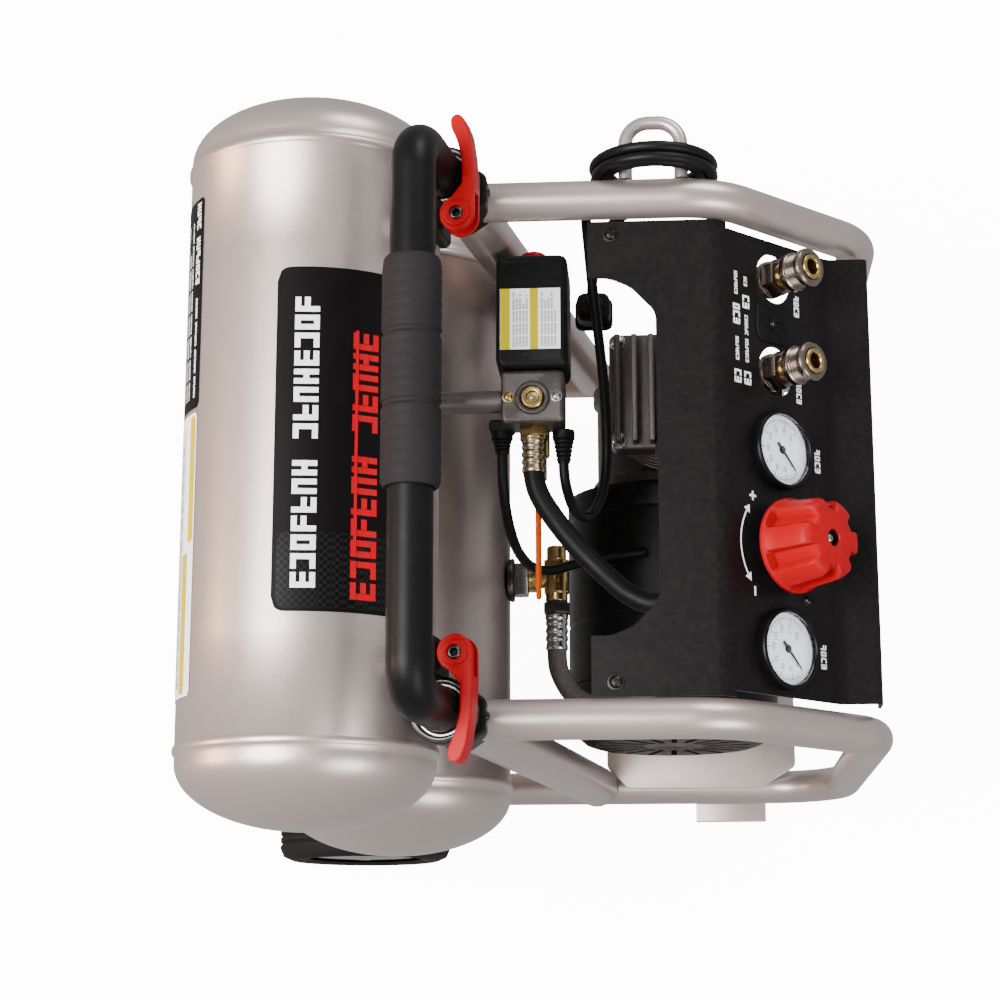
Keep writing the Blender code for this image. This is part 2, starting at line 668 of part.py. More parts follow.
def make_knob():
    low = 8.6 * MM
    high = 44 * MM
    bm = plate(knob_profile(), low, high)
    top = [v for v in bm.verts if v.co.z > high - 1e-6]
    for v in top:
        v.co.x *= 0.86
        v.co.y *= 0.86
    knob = add_object("regulator_knob", bm, "signal_red", face_matrix(KNOB_X))
    cut(knob, guide("knob_hollow", rod(22 * MM, 0, 12 * MM, 24), face_matrix(KNOB_X)))
    cut(knob, guide("knob_screw_well", rod(6 * MM, 38 * MM, 60 * MM, 16), face_matrix(KNOB_X)))


def make_coupler(index, x):
    """Quick coupler: hexagonal body out of the gallery and a sprung sleeve."""
    name = "coupler_%d" % index
    body = [(4 * MM, -31.4 * MM), (8 * MM, -31.4 * MM), (8 * MM, 4 * MM), (11 * MM, 4 * MM), (11 * MM, 9 * MM),
            (8.2 * MM, 9 * MM), (8.2 * MM, 34 * MM), (5 * MM, 34 * MM)]
    add_object(name + "_body", turned(body, 12), "brass", face_matrix(x))
    sleeve = [(8.6 * MM, 14.8 * MM), (12 * MM, 14.8 * MM), (12.6 * MM, 18 * MM), (11.4 * MM, 21 * MM),
              (11.4 * MM, 27 * MM), (12.2 * MM, 31 * MM), (11 * MM, 32.6 * MM), (8.6 * MM, 32.6 * MM)]
    add_object(name + "_sleeve", turned(sleeve, 16), "zinc", face_matrix(x))


# ------------------------------------------------- pressure switch and piping
def make_switch():
    """Open-bottomed cover over the contacts, with the on/off button in its +X end."""
    z = SWITCH_Z - 5 * MM
    cover = block((78 * MM, 48 * MM, 50 * MM), (SWITCH_X, SWITCH_Y, z), 4 * MM)
    cover = add_object("pressure_switch_cover", cover, "black_plastic")
    inside = block((72 * MM, 42 * MM, 60 * MM), (SWITCH_X, SWITCH_Y, z - 9 * MM))
    cut(cover, guide("switch_cover_inside", inside))
    stem = place(SWITCH_X + 35 * MM, SWITCH_Y, z, (1, 0, 0))
    cut(cover, guide("switch_cover_hole", rod(9.6 * MM, -8 * MM, 12 * MM, 14), stem))
    button = turned([(0, -3 * MM), (9 * MM, -3 * MM), (9 * MM, 10 * MM), (7 * MM, 12.5 * MM), (0, 13 * MM)], 14)
    add_object("switch_button", button, "signal_red", stem)


def make_manifold():
    """Cast block beside the switch, with the pipe to the upper tank."""
    body = block((36 * MM, 42 * MM, 30 * MM), (MANIFOLD_X + 1.5 * MM, SWITCH_Y, SWITCH_Z), 4 * MM)
    manifold = add_object("switch_manifold", body, "cast_grey")
    boss = rod(11 * MM, -24 * MM, 4 * MM, 14)
    join(manifold, guide("manifold_boss", boss, place(MANIFOLD_X, SWITCH_Y, SWITCH_Z)))
    neck = rod(9 * MM, 0, 21 * MM, 14)
    join(manifold, guide("manifold_neck", neck, place(MANIFOLD_X, SWITCH_Y, SWITCH_Z, (-1, 0, 0))))
    plug = rod(6 * MM, 0, 19 * MM, 6)
    join(manifold, guide("manifold_plug", plug, place(MANIFOLD_X, SWITCH_Y, SWITCH_Z)))
    pipe = rod(7.5 * MM, 0, 74 * MM, 14)
    join(manifold, guide("manifold_pipe", pipe, place(MANIFOLD_X, SWITCH_Y, PIPE_Z, (0, 1, 0))))


def make_safety_valve():
    """Relief valve under the manifold; its long pull loop hangs on a pin that points to -X."""
    lie = place(0, RELIEF_Y, RELIEF_Z, (-1, 0, 0))
    body = stack([(5 * MM, -59 * MM, -47 * MM), (8 * MM, -47 * MM, -24 * MM), (6 * MM, -24 * MM, -8 * MM),
                  (2.5 * MM, -8 * MM, 4 * MM)], 12)
    valve = add_object("safety_valve", body, "brass", lie)
    riser_at = Matrix.Translation((MANIFOLD_X + 3 * MM, RELIEF_Y, 0))
    riser = rod(4.5 * MM, RELIEF_Z, SWITCH_Z - 24.4 * MM, 10)
    join(valve, guide("safety_valve_riser", riser, riser_at))
    far = 66 * MM
    path = [(0, -3 * MM, 0), (6 * MM, -6 * MM, 0)]
    for k in range(7):
        angle = math.pi * k / 6
        path.append((far - 6 * MM + 6 * MM * math.sin(angle), -6 * MM * math.cos(angle), 0))
    path += [(6 * MM, 6 * MM, 0), (0, 3 * MM, 0)]
    at = Matrix.Translation((-6.5 * MM, RELIEF_Y, RELIEF_Z)) @ Matrix.Rotation(math.pi, 4, "Z")
    at = at @ Matrix.Rotation(math.pi / 2, 4, "X")
    add_object("relief_pull_loop", closed_loop(path, 1.7 * MM, 6), "orange", at)


def closed_loop(points, radius, sides):
    """Endless wire along a closed flat path in the XY plane."""
    bm = bmesh.new()
    points = [Vector(p) for p in points]
    count = len(points)
    loops = []
    for i, point in enumerate(points):
        tangent = (points[(i + 1) % count] - points[i - 1]).normalized()
        side = tangent.cross(Vector((0, 0, 1)))
        loop = []
        for k in range(sides):
            angle = 2 * math.pi * k / sides
            offset = side * math.cos(angle) + Vector((0, 0, 1)) * math.sin(angle)
            loop.append(bm.verts.new(point + offset * radius))
        loops.append(loop)
    for i in range(count):
        low, high = loops[i], loops[(i + 1) % count]
        for k in range(sides):
            j = (k + 1) % sides
            bm.faces.new((low[k], low[j], high[j], high[k]))
    return bm


def make_supply_line():
    """Hose from the manifold's neck to the regulator's inlet."""
    route = in_metres(SUPPLY_HOSE_ROUTE)
    soft_tube("supply_hose", route, 7 * MM, "rubber", 2)


def make_gland():
    """Strain relief where the power cord leaves the switch."""
    gland = turned([(0, 0), (7.5 * MM, 0), (7.5 * MM, 7 * MM), (6 * MM, 8 * MM), (4.4 * MM, 22 * MM), (0, 22 * MM)], 12)
    x = MANIFOLD_X - 17 * MM
    add_object("cord_gland", gland, "black_plastic", place(x, -13.5 * MM, SWITCH_Z - 8 * MM, (-1, 0, 0)))


def make_check_valve():
    """Its hexagon screws into the lower tank and its body lies along X."""
    body = stack([(7 * MM, -24 * MM, -14 * MM), (10 * MM, -14 * MM, 10 * MM), (8 * MM, 10 * MM, 16 * MM)], 6)
    valve = add_object("check_valve", body, "brass", place(*CHECK_VALVE, (-1, 0, 0)))
    neck = stack([(6 * MM, 0, 13 * MM), (9 * MM, 13 * MM, 20 * MM), (13 * MM, 20 * MM, 32 * MM)], 6)
    join(valve, guide("check_valve_neck", neck, place(*CHECK_VALVE, (0, 1, 0))))
    soft_tube("delivery_hose", in_metres(DELIVERY_HOSE_ROUTE), 7 * MM, "cast_grey", 2)


# ------------------------------------------------------------ motor and pump
def make_motor():
    at = place(0, MOTOR_Y, MOTOR_Z, (1, 0, 0))
    r = MOTOR_RADIUS
    shell = [(r - 4 * MM, -104 * MM), (r - 1 * MM, -104 * MM), (r, -100 * MM), (r, 36 * MM), (r - 1 * MM, 40 * MM),
             (20 * MM, 40 * MM), (20 * MM, 36 * MM), (r - 4 * MM, 36 * MM)]
    motor = add_object("motor_housing", turned(shell, 24), "black_satin", at)
    for sign in (-1, 1):
        foot = block((120 * MM, 16 * MM, 44 * MM), (-32 * MM, MOTOR_Y + sign * 50 * MM, 79 * MM))
        join(motor, guide("motor_foot_" + ("front" if sign < 0 else "rear"), foot))
    cut(motor, guide("motor_bore", rod(r - 4 * MM, -110 * MM, 36 * MM, 24), at))
    rotor = stack([(8 * MM, -134 * MM, -60 * MM), (38 * MM, -60 * MM, 12 * MM), (8 * MM, 12 * MM, 74 * MM)], 14)
    add_object("motor_rotor", rotor, "zinc", at)


def make_fan():
    """Radial cooling fan on the shaft's -X end, under a vented cover."""
    at = place(0, MOTOR_Y, MOTOR_Z, (1, 0, 0))
    hub = ring(8 * MM + GAP, 16 * MM, -132 * MM, -112 * MM, 16)
    fan = add_object("cooling_fan", hub, "black_plastic", at)
    for k in range(7):
        turn = Matrix.Rotation(2 * math.pi * k / 7, 4, "Z")
        blade = block((38 * MM, 2 * MM, 18 * MM), (33 * MM, 0, -122 * MM))
        join(fan, guide("fan_blade_%d" % k, blade, at @ turn))
    r = MOTOR_RADIUS
    shell = [(r - 14 * MM, -104.4 * MM), (r, -104.4 * MM), (r, -128 * MM), (r - 12 * MM, -148 * MM),
             (0, -148 * MM), (0, -145.5 * MM), (r - 14 * MM, -145.5 * MM)]
    cover = add_object("fan_cover", turned(shell, 24), "black_plastic", at)
    for k in range(9):
        turn = Matrix.Rotation(2 * math.pi * k / 9, 4, "Z")
        vent = block((34 * MM, 6 * MM, 20 * MM), (36 * MM, 0, -148 * MM))
        cut(cover, guide("fan_vent_%d" % k, vent, at @ turn))


def make_pump():
    """Cast crankcase and finned cylinder with the oil-free piston inside."""
    at = place(0, MOTOR_Y, MOTOR_Z, (1, 0, 0))
    case = add_object("crankcase", rod(58 * MM, 40.5 * MM, 128 * MM, 20), "cast_grey", at)
    upright = place(CYLINDER_X, MOTOR_Y, 0)
    foot = block((60 * MM, 84 * MM, 50 * MM), (CYLINDER_X, MOTOR_Y, 82 * MM))
    join(case, guide("crankcase_foot", foot))
    profile = [(0, 182 * MM), (33 * MM, 182 * MM), (33 * MM, 232 * MM)]
    for k in range(5):
        z = 232 * MM + k * 9 * MM
        profile += [(42 * MM, z), (42 * MM, z + 4 * MM), (31 * MM, z + 4 * MM), (31 * MM, z + 9 * MM)]
    profile += [(42 * MM, 277 * MM), (42 * MM, 281 * MM), (0, 281 * MM)]
    join(case, guide("crankcase_cylinder", turned(profile, 16), upright))
    cut(case, guide("crankcase_inside", rod(48 * MM, 46 * MM, 120 * MM, 16), at))
    cut(case, guide("crankcase_shaft_hole", rod(10 * MM, 30 * MM, 60 * MM, 16), at))
    cut(case, guide("crankcase_bore", rod(25.5 * MM, 150 * MM, 300 * MM, 16), upright))
    head = add_object("cylinder_head", block((84 * MM, 84 * MM, 32 * MM), (CYLINDER_X, MOTOR_Y, 297.6 * MM), 6 * MM, 2),
                      "cast_grey")
    port = rod(10 * MM, 0, 16 * MM, 14)
    join(head, guide("head_port", port, place(CYLINDER_X - 40 * MM + 5 * MM, MOTOR_Y, 303 * MM, (-1, 0, 0))))
    bore = rod(7.6 * MM, 0, 21 * MM, 14)
    cut(head, guide("head_port_bore", bore, place(30 * MM, MOTOR_Y, 303 * MM, (1, 0, 0))))
    crown = rod(24.6 * MM, 246 * MM, 258 * MM, 16)
    piston = add_object("wobble_piston", crown, "zinc", upright)
    arm = block((9 * MM, 16 * MM, 70 * MM), (0, 0, 213 * MM))
    join(piston, guide("piston_rod", arm, upright))
    filter_can = stack([(8 * MM, 0, 8 * MM), (20 * MM, 8 * MM, 34 * MM), (17 * MM, 34 * MM, 37 * MM)], 14)
    add_object("intake_filter", filter_can, "black_plastic",
               place(CYLINDER_X, MOTOR_Y - 42.5 * MM, 298 * MM, (0, -1, 0)))


# ------------------------------------------------- drain valve and cord hook
def make_drain():
    """Quarter-turn drain under the middle of the lower tank."""
    y, z = LOWER_TANK
    top = z - TANK_RADIUS - 2 * MM
    body = stack([(7 * MM, top - 30 * MM, top - 22 * MM), (9 * MM, top - 22 * MM, top - 8 * MM),
                  (7 * MM, top - 8 * MM, top)], 12)
    add_object("drain_valve_body", body, "brass", Matrix.Translation((0, y, 0)))
    pivot = Matrix.Translation((0, y - 9.5 * MM, top - 15 * MM))
    boss = rod(6 * MM, 0, 5 * MM, 14)
    lever = add_object("drain_valve_lever", boss, "signal_red", pivot @ along((0, -1, 0)))
    arm = block((40 * MM, 3 * MM, 9 * MM), (20 * MM, -3.5 * MM, 0), 1 * MM)
    join(lever, guide("drain_arm", arm, pivot))


def make_cord_hook():
    """Steel rod bent into a U, its two ends welded to the +X top rail."""
    inner = RAIL_X + RAIL_RADIUS + 0.4 * MM
    reach = 220 * MM
    half = 18 * MM
    corners = [(inner, COIL_Y - half, TOP_RAIL_Z), (reach, COIL_Y - half, TOP_RAIL_Z),
               (reach, COIL_Y + half, TOP_RAIL_Z), (inner, COIL_Y + half, TOP_RAIL_Z)]
    path = bent_path(corners, (15 * MM, 15 * MM), 5)
    add_object("cord_hook", sweep(path, 4.5 * MM, 0, 10), "zinc")


# ---------------------------------------------------------- hoses and cords
# Hand-laid routes, in millimetres.
SUPPLY_HOSE_ROUTE = (
    (30.6, 6.0, 396.0), (18.0, 6.0, 396.0), (4.0, 6.0, 396.0), (-10.0, 2.5, 395.5), (-27.0, -8.0, 394.5),
    (-45.0, -22.0, 394.5), (-62.0, -38.0, 396.0), (-77.0, -54.0, 399.0), (-85.0, -70.0, 401.5),
    (-83.0, -82.0, 402.5), (-78.0, -89.7, 402.5), (-73.2, -98.0, 402.5))
DELIVERY_HOSE_ROUTE = (
    (-57.4, -2.0, 260.0), (-74.0, -2.0, 260.0), (-92.0, -2.0, 260.0), (-108.0, -4.0, 259.5),
    (-125.0, -15.0, 259.0), (-133.0, -37.0, 263.0), (-127.0, -62.0, 276.0), (-101.0, -79.0, 291.0),
    (-61.0, -84.0, 301.0), (-10.0, -84.0, 303.0), (30.0, -84.0, 303.0), (49.0, -84.0, 303.0))
CORD_LEAD_ROUTE = (
    (12.2, -13.5, 388.0), (2.0, -13.5, 388.0), (-9.0, -15.5, 382.5), (-16.0, -21.0, 361.0),
    (-12.5, -29.0, 341.0), (3.0, -36.5, 329.5), (24.0, -40.0, 327.0), (52.0, -40.5, 333.0),
    (84.0, -39.0, 347.0), (114.0, -36.0, 362.0), (142.0, -33.0, 376.0), (166.0, -31.0, 387.0),
    (179.0, -30.0, 396.0), (185.8, -30.0, 408.0), (187.2, -31.0, 421.0))
CORD_TAIL_ROUTE = (
    (179.6, -76.0, 419.0), (178.9, -64.0, 415.5), (177.8, -54.0, 407.0), (175.8, -46.5, 395.0),
    (171.8, -41.0, 381.5), (165.0, -37.2, 369.0), (157.5, -34.0, 358.0), (151.0, -32.2, 347.0),
    (147.5, -31.6, 338.0), (147.0, -31.5, 330.0), (147.0, -31.5, 322.0))
MOTOR_LEAD_ROUTE = (
    (31.0, 27.5, 388.0), (15.0, 27.5, 387.5), (-5.0, 27.0, 381.0), (-24.0, 24.5, 365.0), (-37.0, 20.0, 343.0),
    (-43.0, 12.0, 318.0), (-41.0, 1.0, 294.0), (-33.0, -13.0, 272.0), (-25.0, -29.0, 253.0),
    (-19.0, -46.0, 239.0), (-15.0, -64.0, 230.8))


def in_metres(route):
    return [Vector(p) * MM for p in route]


def make_cords():
    soft_tube("cord_lead", in_metres(CORD_LEAD_ROUTE), CORD_RADIUS, "rubber")
    soft_tube("cord_tail", in_metres(CORD_TAIL_ROUTE), CORD_RADIUS, "rubber")
    soft_tube("motor_lead", in_metres(MOTOR_LEAD_ROUTE), 3.5 * MM, "rubber")
    coil = ring(COIL_INNER, COIL_OUTER, -COIL_HALF_WIDTH, COIL_HALF_WIDTH, 24)
    add_object("cord_coil", coil, "rubber", place(COIL_X, COIL_Y, COIL_Z, (1, 0, 0)))
    plug = turned([(0, 0), (5 * MM, 0), (7 * MM, 20 * MM), (12 * MM, 26 * MM), (15 * MM, 46 * MM), (0, 46 * MM)], 16)
    add_object("cord_plug", plug, "rubber", place(147 * MM, -31.5 * MM, 321.4 * MM, (0, 0, -1)))


def main():
    clear_scene()
    make_tanks()
    for sign in (-1, 1):
        make_side_frame(sign)
        make_mast(sign)
        make_collar(sign)
        make_clamp_bolt(sign)
        make_lever(sign)
        make_wheel(sign)
    make_handle()
    make_axle()
    make_base()
    make_panel()
    make_gauge("tank", TANK_GAUGE_X)
    make_gauge("tool", TOOL_GAUGE_X)
    make_regulator()
    make_knob()
    for index, x in enumerate(COUPLER_XS, start=1):
        make_coupler(index, x)
    make_switch()
    make_manifold()
    make_safety_valve()
    make_supply_line()
    make_gland()
    make_check_valve()
    make_motor()
    make_fan()
    make_pump()
    make_drain()
    make_cord_hook()
    make_cords()
    bpy.context.view_layer.update()


main()
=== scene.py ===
"""Portable two-tank air compressor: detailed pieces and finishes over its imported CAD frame."""
import math

import bmesh
import bpy
from mathutils import Matrix, Vector


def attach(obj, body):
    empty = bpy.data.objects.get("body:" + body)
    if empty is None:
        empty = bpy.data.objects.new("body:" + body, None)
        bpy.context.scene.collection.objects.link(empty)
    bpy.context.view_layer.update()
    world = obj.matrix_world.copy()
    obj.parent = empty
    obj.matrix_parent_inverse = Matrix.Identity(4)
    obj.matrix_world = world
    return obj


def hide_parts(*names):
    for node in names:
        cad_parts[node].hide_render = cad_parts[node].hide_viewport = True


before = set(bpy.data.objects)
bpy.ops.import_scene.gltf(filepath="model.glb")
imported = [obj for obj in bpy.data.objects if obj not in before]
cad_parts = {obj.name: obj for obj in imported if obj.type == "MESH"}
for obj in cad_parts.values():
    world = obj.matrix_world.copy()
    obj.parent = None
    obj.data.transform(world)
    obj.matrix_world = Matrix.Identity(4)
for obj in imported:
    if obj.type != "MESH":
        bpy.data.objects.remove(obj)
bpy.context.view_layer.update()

MM = 0.001

# ----------------------------------------------------------- sizes, in mm
TANK_RADIUS = 81.0
TANK_END = 235.0
UPPER_TANK = (144.0, 460.0)
LOWER_TANK = (113.0, 249.0)
RAIL_X = 168.0
RAIL_RADIUS = 12.7
TOP_RAIL_Z = 466.0
LOW_RAIL_Z = 40.0
FOOT_Y = -130.0
MAST_Y_AT_FLOOR = -32.7
MAST_SLOPE = 0.17
MAST_TOP_Z = 514.0
COLLAR_Z = 511.0
CAM_INWARD = 31.5
CAM_FORWARD = 13.0
LEVER_RISE = 14.5
HANDLE_BAR_Z = 583.0
GRIP_X = 21.0
GRIP_LENGTH = 139.0
MAST_FOOT_Z = 55.6
WHEEL_Y = 159.0
WHEEL_RADIUS = 66.5
WHEEL_INNER_X = 189.0
WHEEL_WIDTH = 37.0
FACE_CENTRE = (-153.5, 426.5)
TANK_GAUGE_X = -120.0
TOOL_GAUGE_X = 9.0
KNOB_X = -55.0
COUPLER_XS = (62.0, 125.0)
MOTOR_Y = -84.0
MOTOR_Z = 150.0
CYLINDER_X = 86.0
COIL_Y = -76.0
COIL_Z = 452.0
CORD_RADIUS = 3.5
CORD_COLUMNS = (187.2, 194.4)
CORD_LAYERS = (31.4, 38.6)
MANIFOLD = (52, 6, 396)
CHECK_VALVE = (-41, -2, 260)

CORD_LEAD = ((14.2, -13.5, 388), (2, -13.5, 388), (-9, -15.5, 382.5), (-16, -21, 361), (-12.5, -29, 341),
             (3, -36.5, 329.5), (24, -40, 327), (52, -40.5, 333), (84, -39, 347), (114, -36, 362),
             (142, -33, 376), (166, -31, 387), (179, -30, 396), (185.8, -30, 408), (187.2, -31, 421))
CORD_TAIL = ((179.6, -76, 419), (178.9, -64, 415.5), (177.8, -54, 407), (175.8, -46.5, 395),
             (171.8, -41, 381.5), (165, -37.2, 369), (157.5, -34, 358), (151, -32.2, 347),
             (147.5, -31.6, 338), (147, -31.5, 330), (147, -31.5, 322))
SUPPLY_HOSE = ((30.6, 6, 396), (18, 6, 396), (4, 6, 396), (-10, 2.5, 395.5), (-27, -8, 394.5),
               (-45, -22, 394.5), (-62, -38, 396), (-77, -54, 399), (-85, -70, 401.5), (-83, -82, 402.5),
               (-78, -89.7, 402.5), (-73.2, -98, 402.5))
DELIVERY_HOSE = (
    (-57.4, -2, 260), (-74, -2, 260), (-92, -2, 260), (-108, -4, 259.5), (-125, -15, 259), (-133, -37, 263),
    (-127, -62, 276), (-101, -79, 291), (-61, -84, 301), (-10, -84, 303), (30, -84, 303), (49, -84, 303))
MOTOR_LEAD = ((31, 27.5, 388), (15, 27.5, 387.5), (-5, 27, 381), (-24, 24.5, 365), (-37, 20, 343),
              (-43, 12, 318), (-41, 1, 294), (-33, -13, 272), (-25, -29, 253), (-19, -46, 239),
              (-15, -64, 230.8))


def linked(name, data):
    obj = bpy.data.objects.new(name, data)
    bpy.context.scene.collection.objects.link(obj)
    return obj


# ------------------------------------------------------------------ camera
def make_camera():
    data = bpy.data.cameras.new("camera")
    data.lens = 81.0
    data.sensor_width = 36.0
    data.clip_end = 50.0
    camera = linked("camera", data)
    back = Vector((-0.2249, -0.0724, 0.9717)).normalized()
    right = Vector((0.9744, -0.0168, 0.2243)).cross(back).normalized()
    up = back.cross(right)
    turn = Matrix((right, up, back)).transposed().to_4x4()
    camera.matrix_world = Matrix.Translation((-0.347, -0.079, 1.838)) @ turn
    bpy.context.scene.camera = camera


# ---------------------------------------------------------------- materials
class Nodes:
    """Short names for the shader nodes that every finish is put together from."""

    def __init__(self, name):
        self.material = bpy.data.materials.new(name)
        self.material.use_nodes = True
        self.tree = self.material.node_tree
        self.shader = self.tree.nodes["Principled BSDF"]
        self.place = self.add("ShaderNodeTexCoord").outputs["Object"]

    def add(self, kind):
        return self.tree.nodes.new(kind)

    def link(self, start, end):
        self.tree.links.new(start, end)

    def put(self, socket, value):
        if isinstance(value, bpy.types.NodeSocket):
            self.link(value, socket)
        else:
            socket.default_value = value

    def stretched(self, scale):
        mapping = self.add("ShaderNodeMapping")
        mapping.inputs["Scale"].default_value = scale
        self.link(self.place, mapping.inputs["Vector"])
        return mapping.outputs["Vector"]

    def noise(self, scale, detail=4.0, rough=0.55, stretch=None):
        node = self.add("ShaderNodeTexNoise")
        node.inputs["Scale"].default_value = scale
        node.inputs["Detail"].default_value = detail
        node.inputs["Roughness"].default_value = rough
        self.link(self.stretched(stretch) if stretch else self.place, node.inputs["Vector"])
        return node.outputs["Fac"]

    def cells(self, scale):
        node = self.add("ShaderNodeTexVoronoi")
        node.inputs["Scale"].default_value = scale
        self.link(self.place, node.inputs["Vector"])
        return node.outputs["Distance"]

    def span(self, value, low, high, out_low=0.0, out_high=1.0):
        node = self.add("ShaderNodeMapRange")
        self.link(value, node.inputs["Value"])
        for name, number in (("From Min", low), ("From Max", high), ("To Min", out_low),
                             ("To Max", out_high)):
            node.inputs[name].default_value = number
        return node.outputs["Result"]

    def mix(self, factor, first, second):
        node = self.add("ShaderNodeMix")
        node.data_type = "RGBA"
        self.put(node.inputs[0], factor)
        self.put(node.inputs[6], first)
        self.put(node.inputs[7], second)
        return node.outputs[2]

    def math(self, operation, first, second=0.0):
        node = self.add("ShaderNodeMath")
        node.operation = operation
        self.put(node.inputs[0], first)
        self.put(node.inputs[1], second)
        return node.outputs[0]

    def bump(self, height, distance, strength=1.0, before=None):
        node = self.add("ShaderNodeBump")
        node.inputs["Distance"].default_value = distance
        node.inputs["Strength"].default_value = strength
        self.link(height, node.inputs["Height"])
        if before:
            self.link(before, node.inputs["Normal"])
        return node.outputs["Normal"]

    def set(self, **values):
        for name, value in values.items():
            self.put(self.shader.inputs[name.replace("_", " ")], value)


def rgb(red, green, blue):
    return (red, green, blue, 1.0)


def shade(colour, factor):
    return (*[min(1.0, c * factor) for c in colour[:3]], 1.0)


def grained(name, colour, roughness, metallic=0.0, grain=900.0, depth=0.00006, spread=0.12, contrast=0.12,
            wear=None, specular=0.5):
    """Moulded, painted or cast surface: blotchy colour, fine grain, uneven gloss and worn edges."""
    n = Nodes(name)
    blotches = n.noise(28.0, 5.0)
    fine = n.noise(grain, 3.0, 0.6)
    base = n.mix(n.span(blotches, 0.3, 0.7), shade(colour, 1 - contrast), shade(colour, 1 + contrast))
    base = n.mix(n.span(fine, 0.35, 0.75, 0.0, 0.5), base, shade(colour, 1 + 2 * contrast))
    if wear:
        edge = n.add("ShaderNodeNewGeometry").outputs["Pointiness"]
        ragged = n.math("ADD", edge, n.span(n.noise(260.0), 0.3, 0.7, -0.03, 0.03))
        base = n.mix(n.span(ragged, 0.53, 0.6, 0.0, 0.7), base, wear)
    smudge = n.noise(60.0, 6.0)
    n.set(Base_Color=base, Metallic=metallic, Specular_IOR_Level=specular,
          Roughness=n.span(smudge, 0.25, 0.75, roughness - spread / 2, roughness + spread / 2))
    n.link(n.bump(fine, depth), n.shader.inputs["Normal"])
    return n.material


def brushed(name, colour, roughness, stretch=(4.0, 400.0, 400.0)):
    """Machined or plated metal with fine directional marks."""
    n = Nodes(name)
    marks = n.noise(2.0, 6.0, 0.7, stretch)
    stain = n.noise(90.0, 4.0)
    base = n.mix(n.span(stain, 0.3, 0.7), shade(colour, 0.88), shade(colour, 1.08))
    n.set(Base_Color=base, Metallic=1.0,
          Roughness=n.span(marks, 0.3, 0.7, roughness * 0.85, roughness * 1.2))
    n.link(n.bump(marks, 0.00001), n.shader.inputs["Normal"])
    return n.material


def silver_paint():
    """Champagne silver lacquer: tiny flakes under a satin coat, orange peel on top."""
    n = Nodes("silver_paint")
    flakes = n.cells(2600.0)
    cloud = n.noise(9.0, 4.0)
    base = n.mix(n.span(cloud, 0.3, 0.7), rgb(0.41, 0.345, 0.325), rgb(0.44, 0.37, 0.35))
    base = n.mix(n.span(flakes, 0.1, 0.6, 0.25, 0.0), base, rgb(0.55, 0.49, 0.47))
    scuffs = n.noise(140.0, 8.0, 0.7)
    n.set(Base_Color=base, Metallic=0.75, Coat_Weight=0.15, Specular_IOR_Level=0.4,
          Roughness=n.span(scuffs, 0.3, 0.75, 0.32, 0.40))
    n.shader.inputs["Coat Roughness"].default_value = 0.22
    peel = n.bump(n.noise(420.0, 2.0), 0.00004)
    n.link(n.bump(flakes, 0.00001, 0.5, peel), n.shader.inputs["Normal"])
    return n.material


def woven_hose():
    """Braided cover: a fine pattern of cells in two dark browns, faintly mottled and bumped."""
    n = Nodes("woven_hose")
    threads = n.cells(760.0)
    base = n.mix(n.span(threads, 0.1, 0.6), rgb(0.085, 0.07, 0.062), rgb(0.035, 0.029, 0.026))
    base = n.mix(n.span(n.noise(40.0), 0.35, 0.7, 0.0, 0.35), base, rgb(0.11, 0.09, 0.08))
    n.set(Base_Color=base, Roughness=0.62)
    n.link(n.bump(threads, 0.00015), n.shader.inputs["Normal"])
    return n.material


def gauge_glass():
    n = Nodes("gauge_glass")
    smear = n.noise(70.0, 5.0)
    n.set(Base_Color=rgb(1, 1, 1), Roughness=n.span(smear, 0.4, 0.8, 0.02, 0.08))
    n.shader.inputs["Transmission Weight"].default_value = 1.0
    n.shader.inputs["IOR"].default_value = 1.15
    return n.material


def printed(name, colour):
    """Ink on a label: slight mottling and a satin gloss."""
    return grained(name, colour, 0.45, grain=1500.0, depth=0.00001, contrast=0.05, specular=0.06)


def carbon_print():
    """Printed twill pattern: small alternating squares in two dark greys."""
    n = Nodes("carbon_print")
    node = n.add("ShaderNodeTexChecker")
    node.inputs["Scale"].default_value = 430.0
    n.link(n.place, node.inputs["Vector"])
    node.inputs["Color1"].default_value = rgb(0.002, 0.002, 0.0022)
    node.inputs["Color2"].default_value = rgb(0.008, 0.008, 0.0085)
    n.set(Base_Color=node.outputs["Color"], Roughness=n.span(n.noise(80.0), 0.3, 0.7, 0.3, 0.42),
          Specular_IOR_Level=0.08)
    return n.material


